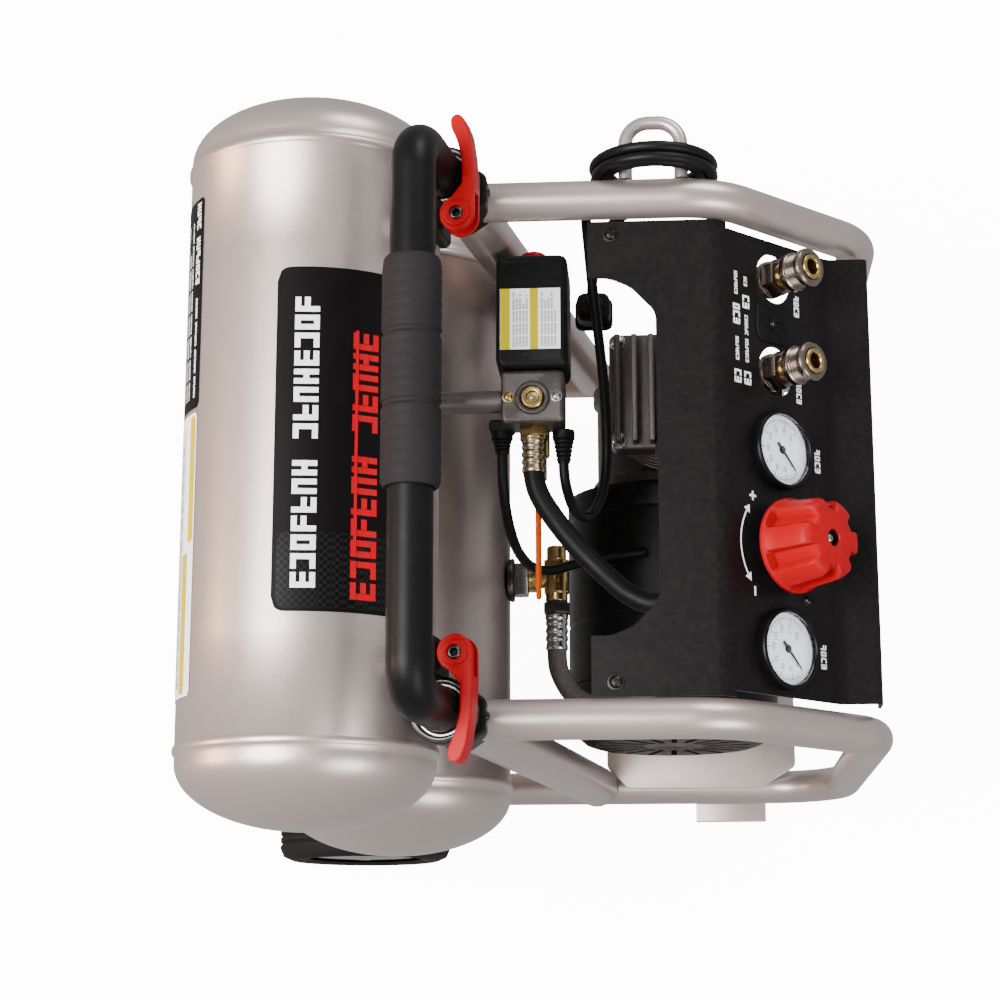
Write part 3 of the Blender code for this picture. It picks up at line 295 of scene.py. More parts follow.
FINISHES = {
    "tank_paint": silver_paint(),
    "handle_paint": grained("handle_black", rgb(0.003, 0.003, 0.0031), 0.42, grain=700.0, depth=0.00002,
                            specular=0.12, wear=rgb(0.015, 0.015, 0.015)),
    "grip_rubber": grained("grip_rubber", rgb(0.012, 0.0105, 0.0115), 0.65, grain=1200.0, depth=0.00006,
                           specular=0.1),
    "clamp_plastic": grained("clamp_black", rgb(0.003, 0.003, 0.0031), 0.45, grain=800.0, depth=0.00004,
                             specular=0.12, wear=rgb(0.02, 0.02, 0.02)),
    "red_plastic": grained("red_plastic", rgb(0.30, 0.0002, 0.0035), 0.42, grain=600.0, depth=0.00003,
                           contrast=0.06, specular=0.1, wear=rgb(0.36, 0.006, 0.01)),
    "zinc_steel": brushed("zinc_steel", rgb(0.38, 0.375, 0.37), 0.26),
    "panel_paint": grained("panel_black", rgb(0.0042, 0.0032, 0.0036), 0.36, grain=1300.0, depth=0.00001,
                           contrast=0.03, spread=0.02, specular=0.12, wear=rgb(0.012, 0.01, 0.01)),
    "gauge_black": grained("gauge_black", rgb(0.0025, 0.0025, 0.0026), 0.32, grain=900.0, depth=0.00001,
                           specular=0.12),
    "cast_aluminium": grained("cast_alloy", rgb(0.06, 0.052, 0.048), 0.45, 0.75, grain=420.0, depth=0.0002,
                              contrast=0.2, wear=rgb(0.12, 0.108, 0.1)),
    "brass_fitting": brushed("turned_brass", rgb(0.46, 0.32, 0.13), 0.24, (400.0, 30.0, 400.0)),
    "black_plastic": grained("black_plastic", rgb(0.003, 0.003, 0.0031), 0.45, grain=700.0, depth=0.00004,
                             specular=0.12, wear=rgb(0.015, 0.015, 0.015)),
    "hose_rubber": grained("hose_rubber", rgb(0.004, 0.0038, 0.004), 0.48, grain=500.0, depth=0.00004,
                           specular=0.15),
    "braid_hose": woven_hose(),
    "tyre_rubber": grained("tyre_rubber", rgb(0.006, 0.006, 0.006), 0.7, grain=500.0, depth=0.0002,
                           contrast=0.2, specular=0.12),
    "wheel_plastic": grained("wheel_grey", rgb(0.2, 0.195, 0.19), 0.5, grain=600.0, depth=0.00006,
                             contrast=0.06),
    "motor_paint": grained("motor_black", rgb(0.003, 0.003, 0.0031), 0.4, grain=500.0, depth=0.00004,
                           specular=0.14, wear=rgb(0.015, 0.015, 0.015)),
    "rotor_steel": brushed("rotor_steel", rgb(0.30, 0.30, 0.31), 0.35),
    "piston_alloy": brushed("piston_alloy", rgb(0.42, 0.42, 0.43), 0.3),
    "orange_ring": grained("orange_loop", rgb(0.75, 0.10, 0.0005), 0.4, grain=900.0, depth=0.00002,
                           contrast=0.06, specular=0.12),
    "cord_rubber": grained("cord_rubber", rgb(0.003, 0.003, 0.0031), 0.45, grain=700.0, depth=0.00004,
                           specular=0.15),
}
FINISHES["frame_paint"] = FINISHES["tank_paint"]
INK_BLACK = printed("ink_black", rgb(0.0035, 0.003, 0.0032))
INK_WHITE = printed("ink_white", rgb(0.85, 0.86, 0.87))
INK_RED = printed("ink_red", rgb(0.36, 0.0005, 0.007))
INK_YELLOW = printed("ink_yellow", rgb(0.46, 0.37, 0.0))
INK_GREY = printed("ink_grey", rgb(0.22, 0.22, 0.24))
DIAL_WHITE = printed("dial_white", rgb(0.7, 0.76, 0.84))
DARK_STEEL = brushed("dark_steel", rgb(0.10, 0.095, 0.09), 0.3)
BLACK_SCREW = brushed("black_screw", rgb(0.03, 0.029, 0.028), 0.34)
PALE_BRASS = brushed("pale_brass", rgb(0.40, 0.33, 0.21), 0.26)
GUNMETAL = brushed("gunmetal", rgb(0.22, 0.175, 0.15), 0.24)
DARK_CAST = grained("dark_cast", rgb(0.06, 0.05, 0.046), 0.4, 0.7, grain=420.0, depth=0.00012, contrast=0.18,
                    wear=rgb(0.14, 0.125, 0.12))
GLASS = gauge_glass()
CARBON = carbon_print()


# ---------------------------------------------------------------- mesh tools
def piece(name, bm, body, slot, at=Matrix(), replaces=(), finish=None, sharp=35.0):
    """Turns mesh data in mm into a piece in metres, placed by `at`, that rides on a body."""
    bmesh.ops.recalc_face_normals(bm, faces=bm.faces)
    bm.transform(Matrix.Scale(MM, 4) @ at)
    mesh = bpy.data.meshes.new(name)
    bm.to_mesh(mesh)
    bm.free()
    mesh.shade_smooth()
    mesh.set_sharp_from_angle(angle=math.radians(sharp))
    mesh.materials.append(finish or FINISHES[slot])
    obj = linked(name, mesh)
    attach(obj, body)
    if replaces:
        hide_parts(*([replaces] if isinstance(replaces, str) else replaces))
    return obj


def merged(*parts):
    """One bmesh out of several; a part is a bmesh, or a (bmesh, matrix) pair."""
    whole = bmesh.new()
    for part in parts:
        bm, at = part if isinstance(part, tuple) else (part, Matrix())
        bm.transform(at)
        mesh = bpy.data.meshes.new("part")
        bm.to_mesh(mesh)
        whole.from_mesh(mesh)
        bpy.data.meshes.remove(mesh)
        bm.free()
    return whole


def ring_of(make, count):
    """Copies of one shape, turned about Z in equal steps."""
    copies = [make() for _ in range(count)]
    for k, copy in enumerate(copies):
        copy.transform(Matrix.Rotation(2 * math.pi * k / count, 4, "Z"))
    return copies


def along(axis):
    return Vector(axis).to_track_quat("Z", "X").to_matrix().to_4x4()


def place(x=0.0, y=0.0, z=0.0, axis=(0, 0, 1)):
    return Matrix.Translation((x, y, z)) @ along(axis)


def rounded(points, radius, steps=4, closed=False):
    """The same 2-D line with each corner replaced by a small arc."""
    points = [Vector(p) for p in points]
    count = len(points)
    result = []
    for i, point in enumerate(points):
        if not closed and i in (0, count - 1):
            result.append(point)
            continue
        to_last = points[i - 1] - point
        to_next = points[(i + 1) % count] - point
        reach = min(radius, to_last.length * 0.45, to_next.length * 0.45)
        start = point + to_last.normalized() * reach
        end = point + to_next.normalized() * reach
        for k in range(steps + 1):
            t = k / steps
            result.append(start * (1 - t) ** 2 + point * 2 * t * (1 - t) + end * t * t)
    return [tuple(p) for p in result]


def lathe(profile, sides=64, soften=0.0):
    """Solid of revolution about Z from (radius, height) points."""
    if soften:
        profile = rounded(profile, soften, 3)
    bm = bmesh.new()
    loops = []
    for radius, height in profile:
        if radius < 1e-6:
            loops.append([bm.verts.new((0, 0, height))] * sides)
            continue
        loops.append([bm.verts.new((x, y, height)) for x, y in polygon(radius, sides)])
    for low, high in zip(loops, loops[1:]):
        for k in range(sides):
            j = (k + 1) % sides
            corners = list(dict.fromkeys((low[k], low[j], high[j], high[k])))
            if len(corners) > 2:
                bm.faces.new(corners)
    return bm


def tube(points, radius, sides=24, closed=False):
    """Round tube along 3-D points; radius is one number, or one for each point."""
    points = [Vector(p) for p in points]
    count = len(points)
    radii = radius if isinstance(radius, (list, tuple)) else [radius] * count
    bm = bmesh.new()
    loops = []
    side = None
    for i, point in enumerate(points):
        after = points[(i + 1) % count] if closed else points[min(i + 1, count - 1)]
        before = points[i - 1] if closed else points[max(i - 1, 0)]
        tangent = (after - before).normalized()
        if side is None:
            side = tangent.orthogonal().normalized()
        side = (side - tangent * side.dot(tangent)).normalized()
        across = tangent.cross(side)
        loops.append([bm.verts.new(point + (side * math.cos(2 * math.pi * k / sides)
                                            + across * math.sin(2 * math.pi * k / sides)) * radii[i])
                      for k in range(sides)])
    pairs = list(zip(loops, loops[1:]))
    if closed:
        shift = min(range(sides), key=lambda s: (loops[-1][0].co - loops[0][s].co).length)
        pairs.append((loops[-1], loops[0][shift:] + loops[0][:shift]))
    for low, high in pairs:
        for k in range(sides):
            j = (k + 1) % sides
            bm.faces.new((low[k], low[j], high[j], high[k]))
    if not closed:
        bm.faces.new(loops[0])
        bm.faces.new(loops[-1])
    return bm


def plate(outline, low, high, bevel=0.0, segments=2):
    """Flat shape pulled up from low to high, with its rims rounded off."""
    bm = bmesh.new()
    bottom = [bm.verts.new((x, y, low)) for x, y in outline]
    top = [bm.verts.new((x, y, high)) for x, y in outline]
    bm.faces.new(bottom)
    bm.faces.new(top)
    count = len(outline)
    for k in range(count):
        j = (k + 1) % count
        bm.faces.new((bottom[k], bottom[j], top[j], top[k]))
    bmesh.ops.recalc_face_normals(bm, faces=bm.faces)
    if bevel:
        rims = [e for e in bm.edges if abs(e.verts[0].co.z - e.verts[1].co.z) < 1e-6]
        bmesh.ops.bevel(bm, geom=rims, offset=bevel, segments=segments, profile=0.6, affect="EDGES",
                        clamp_overlap=True)
    return bm


def rectangle(width, depth, radius):
    corners = [(width / 2, depth / 2), (-width / 2, depth / 2), (-width / 2, -depth / 2),
               (width / 2, -depth / 2)]
    return rounded(corners, radius, 5, closed=True)


def slab(size, centre=(0, 0, 0), radius=2.0, bevel=1.0, segments=3):
    """Block with rounded upright corners and softened rims."""
    bm = plate(rectangle(size[0], size[1], radius), -size[2] / 2, size[2] / 2, bevel, segments)
    bm.transform(Matrix.Translation(centre))
    return bm


def polygon(radius, sides):
    angles = [2 * math.pi * k / sides for k in range(sides)]
    return [(radius * math.cos(a), radius * math.sin(a)) for a in angles]


def hexagon(radius, low, high):
    """Hexagonal nut body with chamfered corners."""
    bm = plate(polygon(radius, 6), low, high)
    upper = [e for e in bm.edges if abs(e.verts[0].co.z - e.verts[1].co.z) < 1e-6]
    bmesh.ops.bevel(bm, geom=upper, offset=radius * 0.08, segments=2, profile=0.5, affect="EDGES")
    return bm


def bent(corners, radii, steps=10):
    """Centreline through corners with true arcs of the given radii at the inner ones."""
    corners = [Vector(c) for c in corners]
    path = [corners[0]]
    for i in range(1, len(corners) - 1):
        before = (corners[i - 1] - corners[i]).normalized()
        after = (corners[i + 1] - corners[i]).normalized()
        half = before.angle(after) / 2
        reach = radii[i - 1] / math.tan(half)
        centre = corners[i] + (before + after).normalized() * (radii[i - 1] / math.sin(half))
        start = corners[i] + before * reach - centre
        end = corners[i] + after * reach - centre
        turn = start.angle(end)
        for k in range(steps + 1):
            t = k / steps
            arm = (start * math.sin((1 - t) * turn) + end * math.sin(t * turn)) / math.sin(turn)
            path.append(centre + arm)
    path.append(corners[-1])
    return path


def flowing(points, spacing):
    """Points about `spacing` apart on a smooth curve through the given ones."""
    points = [Vector(p) for p in points]
    points = [points[0] * 2 - points[1]] + points + [points[-1] * 2 - points[-2]]
    fine = []
    for i in range(1, len(points) - 2):
        a, b, c, d = points[i - 1:i + 3]
        steps = max(2, round((c - b).length / spacing))
        for k in range(steps):
            t = k / steps
            fine.append(0.5 * (b * 2 + (c - a) * t + (a * 2 - b * 5 + c * 4 - d) * t * t
                               + (b * 3 - a - c * 3 + d) * t ** 3))
    fine.append(points[-2])
    return fine


def booleaned(bm, *cutters):
    """bm with the cutters' shapes taken out of it."""
    def solid(data, name):
        bmesh.ops.recalc_face_normals(data, faces=data.faces)
        mesh = bpy.data.meshes.new(name)
        data.to_mesh(mesh)
        data.free()
        obj = linked(name, mesh)
        return obj
    body = solid(bm, "boolean_body")
    tools = [solid(cutter, "boolean_tool") for cutter in cutters]
    for tool in tools:
        modifier = body.modifiers.new("cut", "BOOLEAN")
        modifier.operation = "DIFFERENCE"
        modifier.solver = "EXACT"
        modifier.object = tool
    bpy.context.view_layer.update()
    shown = body.evaluated_get(bpy.context.evaluated_depsgraph_get())
    result = bmesh.new()
    result.from_mesh(shown.to_mesh())
    shown.to_mesh_clear()
    for obj in [body] + tools:
        mesh = obj.data
        bpy.data.objects.remove(obj)
        bpy.data.meshes.remove(mesh)
    return result


def mast_frame(sign, z):
    """Z up the mast, X across the machine, with its origin on the mast's axis."""
    lean = math.atan(MAST_SLOPE)
    centre = Matrix.Translation((sign * RAIL_X, MAST_Y_AT_FLOOR + MAST_SLOPE * z, z))
    return centre @ Matrix.Rotation(-lean, 4, "X")


def face_frame(x):
    """Z out of the panel's sloping face, X across it and Y up its slope."""
    y, z = FACE_CENTRE
    return Matrix.Translation((x, y, z)) @ Matrix.Rotation(math.radians(45), 4, "X")


def side_of(sign):
    return "left" if sign < 0 else "right"


# --------------------------------------------------------------- power cord
def coil_point(column, radius, degrees):
    angle = math.radians(degrees)
    return Vector((column, COIL_Y + radius * math.cos(angle), COIL_Z + radius * math.sin(angle)))


def coil_path():
    """3.7 turns round the hook, two columns wide and two layers deep."""
    near, far = CORD_COLUMNS
    inner, outer = CORD_LAYERS
    places = [(near, outer), (far, outer), (far, inner), (near, inner)]
    points = []
    first = -10
    for degrees in range(first, 1311, 10):
        turn, part = divmod(degrees - first, 360)
        t = max(0.0, min(1.0, (part - 290) / 70))
        t = t * t * (3 - 2 * t)
        column, radius = Vector(places[turn]).lerp(Vector(places[min(turn + 1, 3)]), t)
        points.append(coil_point(column, radius, degrees))
    return points


def ease(points, centre, reach, rounds):
    """Relax the points near the centre, so that no bend there is tighter than a cord takes."""
    for k in range(rounds):
        half = math.ceil(reach * (1 - k / rounds))
        calm = [(points[i - 1] + 2 * points[i] + points[i + 1]) / 4
                for i in range(centre - half, centre + half + 1)]
        points[centre - half:centre + half + 1] = calm


def cord_path():
    """The lead up to the hook, the coil and the tail down to the plug, as one line in mm."""
    entry = [coil_point(CORD_COLUMNS[0], CORD_LAYERS[1], degrees) for degrees in (-20, -10, 0)]
    lead = flowing(list(CORD_LEAD) + entry, 5)
    coil = coil_path()
    out = [coil_point(186.6, 31.5, -120), coil_point(184.8, 31.8, -108), coil_point(182, 32.4, -98)]
    tail = flowing([coil[-2], coil[-1]] + out + [Vector(p) for p in CORD_TAIL], 5)
    first = next(i for i, p in enumerate(lead) if (p - coil[0]).length < 0.5)
    start = next(i for i, p in enumerate(tail) if (p - coil[-1]).length < 0.5)
    joined = lead[:first] + coil + tail[start + 1:]
    for centre, reach, rounds in ((5, 4, 12), (first - 1, 5, 6), (first + len(coil) + 3, 8, 12)):
        ease(joined, centre, reach, rounds)
    return joined


def make_cord():
    path = [p * MM for p in cord_path()]
    curve = bpy.data.curves.new("power_cord", "CURVE")
    curve.dimensions = "3D"
    curve.bevel_depth = CORD_RADIUS * MM
    curve.bevel_resolution = 5
    curve.use_fill_caps = True
    spline = curve.splines.new("POLY")
    spline.points.add(len(path) - 1)
    for target, point in zip(spline.points, path):
        target.co = (*point, 1.0)
    spline.use_smooth = True
    cord = linked("power_cord", curve)
    curve.materials.append(FINISHES["cord_rubber"])
    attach(cord, "frame")
    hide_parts("cord_lead", "cord_coil", "cord_tail")
    gland = make_gland()
    plug = make_plug()


def make_gland():
    """Tapered strain relief, 22 mm long, with bending grooves over a hexagon nut."""
    profile = [(3.6, 0), (7.5, 0), (7.5, 6)]
    for k in range(5):
        z = 6.6 + k * 2.9
        r = 6.7 - k * 0.45
        profile += [(r - 0.7, z), (r, z + 0.6), (r, z + 2.0), (r - 0.7, z + 2.5)]
    profile += [(4.3, 22), (3.6, 22)]
    at = place(35, -13.5, 388, (-1, 0, 0))
    return piece("cord_strain_relief", merged(lathe(profile, 32, 0.3), hexagon(7.4, 0.4, 4.5)), "frame",
                 "black_plastic", at, "cord_gland")


def make_plug():
    """Moulded three-pin plug: ribbed collar, square shoulders, face and blades downwards."""
    collar = [(3.6, 0), (4.8, 0)]
    for k in range(4):
        z = 1.5 + k * 2.6
        collar += [(4.9 + k * 0.5, z), (5.9 + k * 0.5, z + 0.5), (5.9 + k * 0.5, z + 1.6),
                   (5.1 + k * 0.5, z + 2.1)]
    collar += [(8, 14), (0, 14)]
    body = plate(rectangle(24, 21, 7), 12, 32, 2.5, 3)
    face = plate(rectangle(27, 24, 6), 29, 33.5, 1.2, 2)
    at = place(147, -31.5, 321.4, (0, 0, -1))
    plug = piece("power_plug", merged(lathe(collar, 32, 0.3), body, face), "frame", "cord_rubber", at,
                 "cord_plug")
    blades = [plate(rectangle(1.6, 6.4, 0.4), 33, 45.5, 0.4) for _ in range(2)]
    pin = lathe([(0, 33), (2.4, 33), (2.4, 44), (1.6, 45.9), (0, 45.9)], 20, 0.4)
    sides = [Matrix.Translation((dx, 2.5, 0)) for dx in (-6.3, 6.3)]
    prongs = merged((blades[0], sides[0]), (blades[1], sides[1]), (pin, Matrix.Translation((0, -6.5, 0))))
    piece("power_plug_prongs", prongs, "frame", "brass_fitting", at)
    return plug


# -------------------------------------------------------------------- tanks
def tank_profile():
    """One welded shell: deep domes, raised seam beads and a slight step at each."""
    half = []
    shoulder = TANK_END - TANK_RADIUS * 0.5
    steps = 22
    for k in range(steps + 1):
        angle = math.pi / 2 * k / steps
        half.append((TANK_RADIUS * math.sin(angle), shoulder + TANK_RADIUS * 0.5 * math.cos(angle)))
    half[0] = (0, TANK_END)
    half += [(TANK_RADIUS, 190.6), (TANK_RADIUS + 0.9, 189.6), (TANK_RADIUS + 1.6, 188),
             (TANK_RADIUS + 1.6, 186), (TANK_RADIUS + 0.9, 184.4), (TANK_RADIUS, 183.4), (TANK_RADIUS, 120),
             (TANK_RADIUS, 60)]
    return [(r, -h) for r, h in half] + [(r, h) for r, h in reversed(half)]


def make_tanks():
    for name, (y, z) in (("upper_tank", UPPER_TANK), ("lower_tank", LOWER_TANK)):
        piece(name + "_shell", lathe(tank_profile(), 128), "frame", "tank_paint", place(0, y, z, (1, 0, 0)),
              name, sharp=50)
    low = [(9, 331.5), (9, 375.2)]
    collars = [(12.5, 329.5), (13, 331), (12, 334), (9, 336)]
    upper = [(r, 706.6 - z) for r, z in collars]
    pipe = merged(lathe(low, 40), lathe(collars, 40), lathe(upper, 40))
    piece("tank_link_tube", pipe, "frame", "tank_paint", Matrix.Translation((-100, 128.5, 0)),
          "tank_link_pipe")


def tank_patch(x0, x1, a0, a1, lift, corner=0.0):
    """Thin sheet on the upper tank from a0 to a1 degrees; 0 is the top and 90 the front."""
    y, z = UPPER_TANK
    radius = TANK_RADIUS + lift
    arc = math.radians(a1 - a0) * radius
    outline = rounded([(x0, 0), (x1, 0), (x1, arc), (x0, arc)], corner, 6, closed=True) if corner else None
    bm = bmesh.new()
    rows = max(2, int((a1 - a0) / 1.5))
    grid = []
    for i in range(rows + 1):
        s = arc * i / rows
        left, right = x0, x1
        if outline:
            left, right = row_span(outline, s, x0, x1)
        angle = math.radians(a0) + s / radius
        grid.append([bm.verts.new((left + (right - left) * k / 4, y - radius * math.sin(angle),
                                   z + radius * math.cos(angle))) for k in range(5)])
    for low, high in zip(grid, grid[1:]):
        for k in range(4):
            bm.faces.new((low[k], low[k + 1], high[k + 1], high[k]))
    return bm


def on_tank(x, arc, lift):
    """Point on the upper tank: `arc` mm round from its top towards the front."""
    y, z = UPPER_TANK
    radius = TANK_RADIUS + lift
    angle = arc / radius
    return (x, y - radius * math.sin(angle), z + radius * math.cos(angle))


def row_span(outline, s, x0, x1):
    """Left and right ends of a rounded rectangle at height s."""
    crossings = []
    for (ax, ay), (bx, by) in zip(outline, outline[1:] + outline[:1]):
        if (ay <= s <= by or by <= s <= ay) and abs(by - ay) > 1e-9:
            crossings.append(ax + (bx - ax) * (s - ay) / (by - ay))
    if len(crossings) < 2:
        inset = (x1 - x0) * 0.03
        return x0 + inset, x1 - inset
    return min(crossings), max(crossings)


def make_tank_labels():
    """Decals: a black main label with rows of strokes for print, and two small ones behind."""
    piece("main_label", tank_patch(-112, 102, -7, 54, 0.35, 9), "frame", "tank_paint", finish=INK_BLACK)
    piece("carbon_label_end", tank_patch(-110, -64, -5, 52, 0.45, 6), "frame", "tank_paint", finish=CARBON)
    piece("label_white_print", dashes(-98, 88, 9, 15.0, 0.9, on_tank), "frame", "tank_paint",
          finish=INK_WHITE)
    red = [tank_patch(-77, 63, 27.4, 28.9, 0.9), dashes(-104, 70, 46, 17.0, 0.9, on_tank)]
    piece("label_red_print", merged(*red), "frame", "tank_paint", finish=INK_RED)
    piece("rear_label_black", tank_patch(23, 161, -95, -51, 0.35, 3), "frame", "tank_paint",
          finish=INK_BLACK)
    lines = [dashes(x0, end, arc, tall, 0.7, on_tank) for x0, end, arc,
             tall in ((104, 158, -79, 6.0), (30, 96, -79, 2.6), (30, 150, -88, 2.2), (30, 128, -93, 2.2),
                      (30, 150, -98, 2.2))]
    piece("rear_label_black_print", merged(*lines), "frame", "tank_paint", finish=INK_WHITE)
    piece("rear_label_white", tank_patch(-157, 20, -100, -52, 0.35, 3), "frame", "tank_paint",
          finish=INK_WHITE)
    bands = [tank_patch(-62, 18, -58, -53, 0.5, 1), tank_patch(-155, -68, -64, -58, 0.5, 1),
             tank_patch(-155, 18, -84, -79, 0.5, 1)]
    piece("rear_label_band", merged(*bands), "frame", "tank_paint", finish=INK_YELLOW)
    lines = [dashes(-151, end, arc, 1.8, 0.5, on_tank) for end,
             arc in ((14, -94), (2, -97), (10, -100), (-8, -103), (14, -106), (4, -122), (14, -126),
                     (-10, -130), (4, -134))]
    piece("rear_label_lines", merged(*lines), "frame", "tank_paint", finish=INK_GREY)


# -------------------------------------------------------------------- frame
def make_side_frames():
    for sign in (-1, 1):
        x = sign * RAIL_X
        side = side_of(sign)
        corners = [(x, 42, TOP_RAIL_Z), (x, -116, TOP_RAIL_Z), (x, -214.3, 366), (x, -214.3, LOW_RAIL_Z),
                   (x, 178, LOW_RAIL_Z)]
        rail = tube(bent(corners, (60, 50, 55), 14), RAIL_RADIUS, 40)
        mast = tube([mast_frame(sign, 400).translation, mast_frame(sign, 530).translation], 15.9, 64)
        piece("rail_" + side, booleaned(rail, mast), "frame", "frame_paint", Matrix(), "side_frame_" + side)
        cap = lathe([(0, 0), (10, 0), (12.4, 1.2), (12.4, 3.0), (0, 3.2)], 40, 0.6)
        piece("rail_cap_" + side, cap, "frame", "black_plastic", place(x, 178.1, LOW_RAIL_Z, (0, 1, 0)))
        make_rail_joint(sign)


def make_rail_joint(sign):
    """Black moulded wedge that ties the top rail's end to the mast, with its bolt."""
    x = -RAIL_X
    outline = rounded([(x - 10, 30), (x + 10, 30), (x + 19, 43), (x + 18.5, 56), (x - 18.5, 56),
                       (x - 19, 43)], 3, 5, closed=True)
    wedge = plate(outline, 456, 491, 3, 4)
    bore = tube([mast_frame(-1, 430).translation, mast_frame(-1, 520).translation], 16.1, 64)
    socket = tube([(x, 0, TOP_RAIL_Z), (x, 44, TOP_RAIL_Z)], RAIL_RADIUS + 0.1, 48)
    wedge = booleaned(wedge, bore, socket)
    if sign > 0:
        wedge.transform(Matrix.Scale(-1, 4, (1, 0, 0)))
        bmesh.ops.reverse_faces(wedge, faces=wedge.faces)
    side = side_of(sign)
    piece("rail_joint_" + side, wedge, "frame", "clamp_plastic")
    screw("rail_joint_screw_" + side, place(sign * RAIL_X, 29.9, 485, (0, -1, 0)), 3.0, finish=BLACK_SCREW)


def screw(name, at, radius, slot="zinc_steel", body="frame", finish=None):
    """Pan-head screw with a cross recess and its washer."""
    head = lathe([(0, radius * 0.62), (radius * 0.55, radius * 0.58), (radius * 0.9, radius * 0.36),
                  (radius, 0.1), (radius * 1.35, 0.1), (radius * 1.35, -0.6)], 28, 0.3)
    bars = [slab((radius * 1.05, radius * 0.22, radius * 0.5), (0, 0, radius * 0.62), 0.1, 0.05, 1)
            for _ in range(2)]
    bars[1].transform(Matrix.Rotation(math.pi / 2, 4, "Z"))
    return piece(name, booleaned(head_closed(head), *bars), body, slot, at, finish=finish)


def head_closed(bm):
    """Closes the open rim below a turned head, so that it can be cut."""
    rims = [e for e in bm.edges if e.is_boundary]
    bmesh.ops.contextual_create(bm, geom=rims)
    return bm


def make_masts():
    for sign in (-1, 1):
        side = side_of(sign)
        length = (MAST_TOP_Z - MAST_FOOT_Z) / math.cos(math.atan(MAST_SLOPE))
        profile = [(14.2, 0), (16, 0), (16, length), (14.2, length), (14.2, length - 20)]
        piece("mast_tube_" + side, lathe(profile, 48, 0.5), "frame", "frame_paint",
              mast_frame(sign, MAST_FOOT_Z), "mast_" + side)


def make_handle():
    def on_axis(sign, z):
        return (sign * RAIL_X, MAST_Y_AT_FLOOR + MAST_SLOPE * z, z)
    corners = [on_axis(-1, 128), on_axis(-1, HANDLE_BAR_Z), on_axis(1, HANDLE_BAR_Z), on_axis(1, 128)]
    piece("handle_bar", tube(bent(corners, (22, 22), 18), 13.5, 48), "handle", "handle_paint", Matrix(),
          "handle_tube")
    half = GRIP_LENGTH / 2
    profile = [(14.2, -half), (16.2, -half), (17, 2 - half)]
    z = 5.5 - half
    while z < half - 4.5:
        groove = 1.3 if abs(abs(z) - 23) < 3.4 else 0.18
        profile += [(17.8, z - 2.2), (17.8 - groove, z - 1.1), (17.8 - groove, z + 1.1), (17.8, z + 2.2)]
        z += 7.2
    profile += [(17, half - 2), (16.2, half), (14.2, half)]
    bar_y = MAST_Y_AT_FLOOR + MAST_SLOPE * HANDLE_BAR_Z
    piece("grip_sleeve", lathe(profile, 56, 0.6), "handle", "grip_rubber",
          place(GRIP_X, bar_y, HANDLE_BAR_Z, (1, 0, 0)), "handle_grip")


# ---------------------------------------------------------------- cam clamps
def lever_outline(sign):
    """Round cam head that runs out into a slim, slightly bowed arm."""
    outline = [(11 * math.cos(math.radians(20 + 255 * k / 24)),
                11 * math.sin(math.radians(20 + 255 * k / 24))) for k in range(25)]
    arm = [(19, -11), (38, -10), (54, -7.6), (63, -4), (65.5, 0), (63, 4), (57, 4), (48, 0), (36, -3.2),
           (19, -3.2)]
    return [(sign * x, y) for x, y in outline + rounded(arm, 3, 3)]


def make_clamps():
    for sign in (-1, 1):
        side = side_of(sign)
        at = mast_frame(sign, COLLAR_Z)
        inward = -sign
        ring = lathe([(16.4, -10), (20, -10), (20, 4), (16.4, 4), (16.4, -10)], 56, 0.6)
        ears = slab((26, 17.5, 34), (inward * 30, 7.25, 7), 5, 2)
        slot = slab((40, 3, 90), (inward * 35, 7, 0), 0.3, 0.1, 1)
        hollow = plate(polygon(16.4, 48), -50, 50)
        ears = booleaned(ears, hollow, slot)
        rim = lathe([(16.5, 3.8), (19, 3.8), (19.4, 5.2), (17.6, 6), (16.5, 5.6)], 56, 0.3)
        piece("collar_" + side, merged(ring, ears), "frame", "clamp_plastic", at, "clamp_collar_" + side)
        piece("collar_rim_" + side, rim, "frame", "clamp_plastic", at, finish=DARK_STEEL)
        axis = at @ place(inward * CAM_INWARD, 0, LEVER_RISE, (0, 1, 0))
        shank = lathe([(0, -CAM_FORWARD), (3, -CAM_FORWARD), (3, 16), (0, 16)], 24, 0.2)
        nut = hexagon(6.5, 16.4, 22)
        stud = lathe([(0, 22), (2.9, 22), (2.9, 22.2), (0, 22.3)], 24)
        piece("clamp_stud_" + side, merged(shank, nut, stud), "frame", "zinc_steel", axis,
              "clamp_bolt_" + side)
        make_lever(sign, at @ Matrix.Translation((inward * CAM_INWARD, -CAM_FORWARD, LEVER_RISE)))


def make_lever(sign, pivot):
    """Slotted red cam lever on its hollow cross pin."""
    side = side_of(sign)
    pin = lathe([(2.4, -8.3), (4, -8.3), (4, 8.4), (3.3, 8.9), (2.4, 8.9), (2.4, 3), (0, 3)], 32, 0.3)
    piece("lever_pin_" + side, pin, "frame", "zinc_steel", pivot, finish=DARK_STEEL)
    lever = plate(lever_outline(sign), -8, 8, 1.3, 4)
    hole = plate(polygon(4.3, 32), -30, 30)
    slit = slab((46, 50, 8), (-sign * 9, 6, 0), 0.3, 0.1, 1)
    piece("cam_lever_" + side, booleaned(lever, hole, slit), "lever_" + side, "red_plastic", pivot,
          "clamp_lever_" + side)
    boss = lathe([(4.5, 7.9), (8.2, 7.9), (8.2, 8.7), (7.4, 9.2), (5.4, 9.2), (4.5, 8.7)], 40, 0.3)
    piece("cam_boss_" + side, boss, "lever_" + side, "red_plastic", pivot)


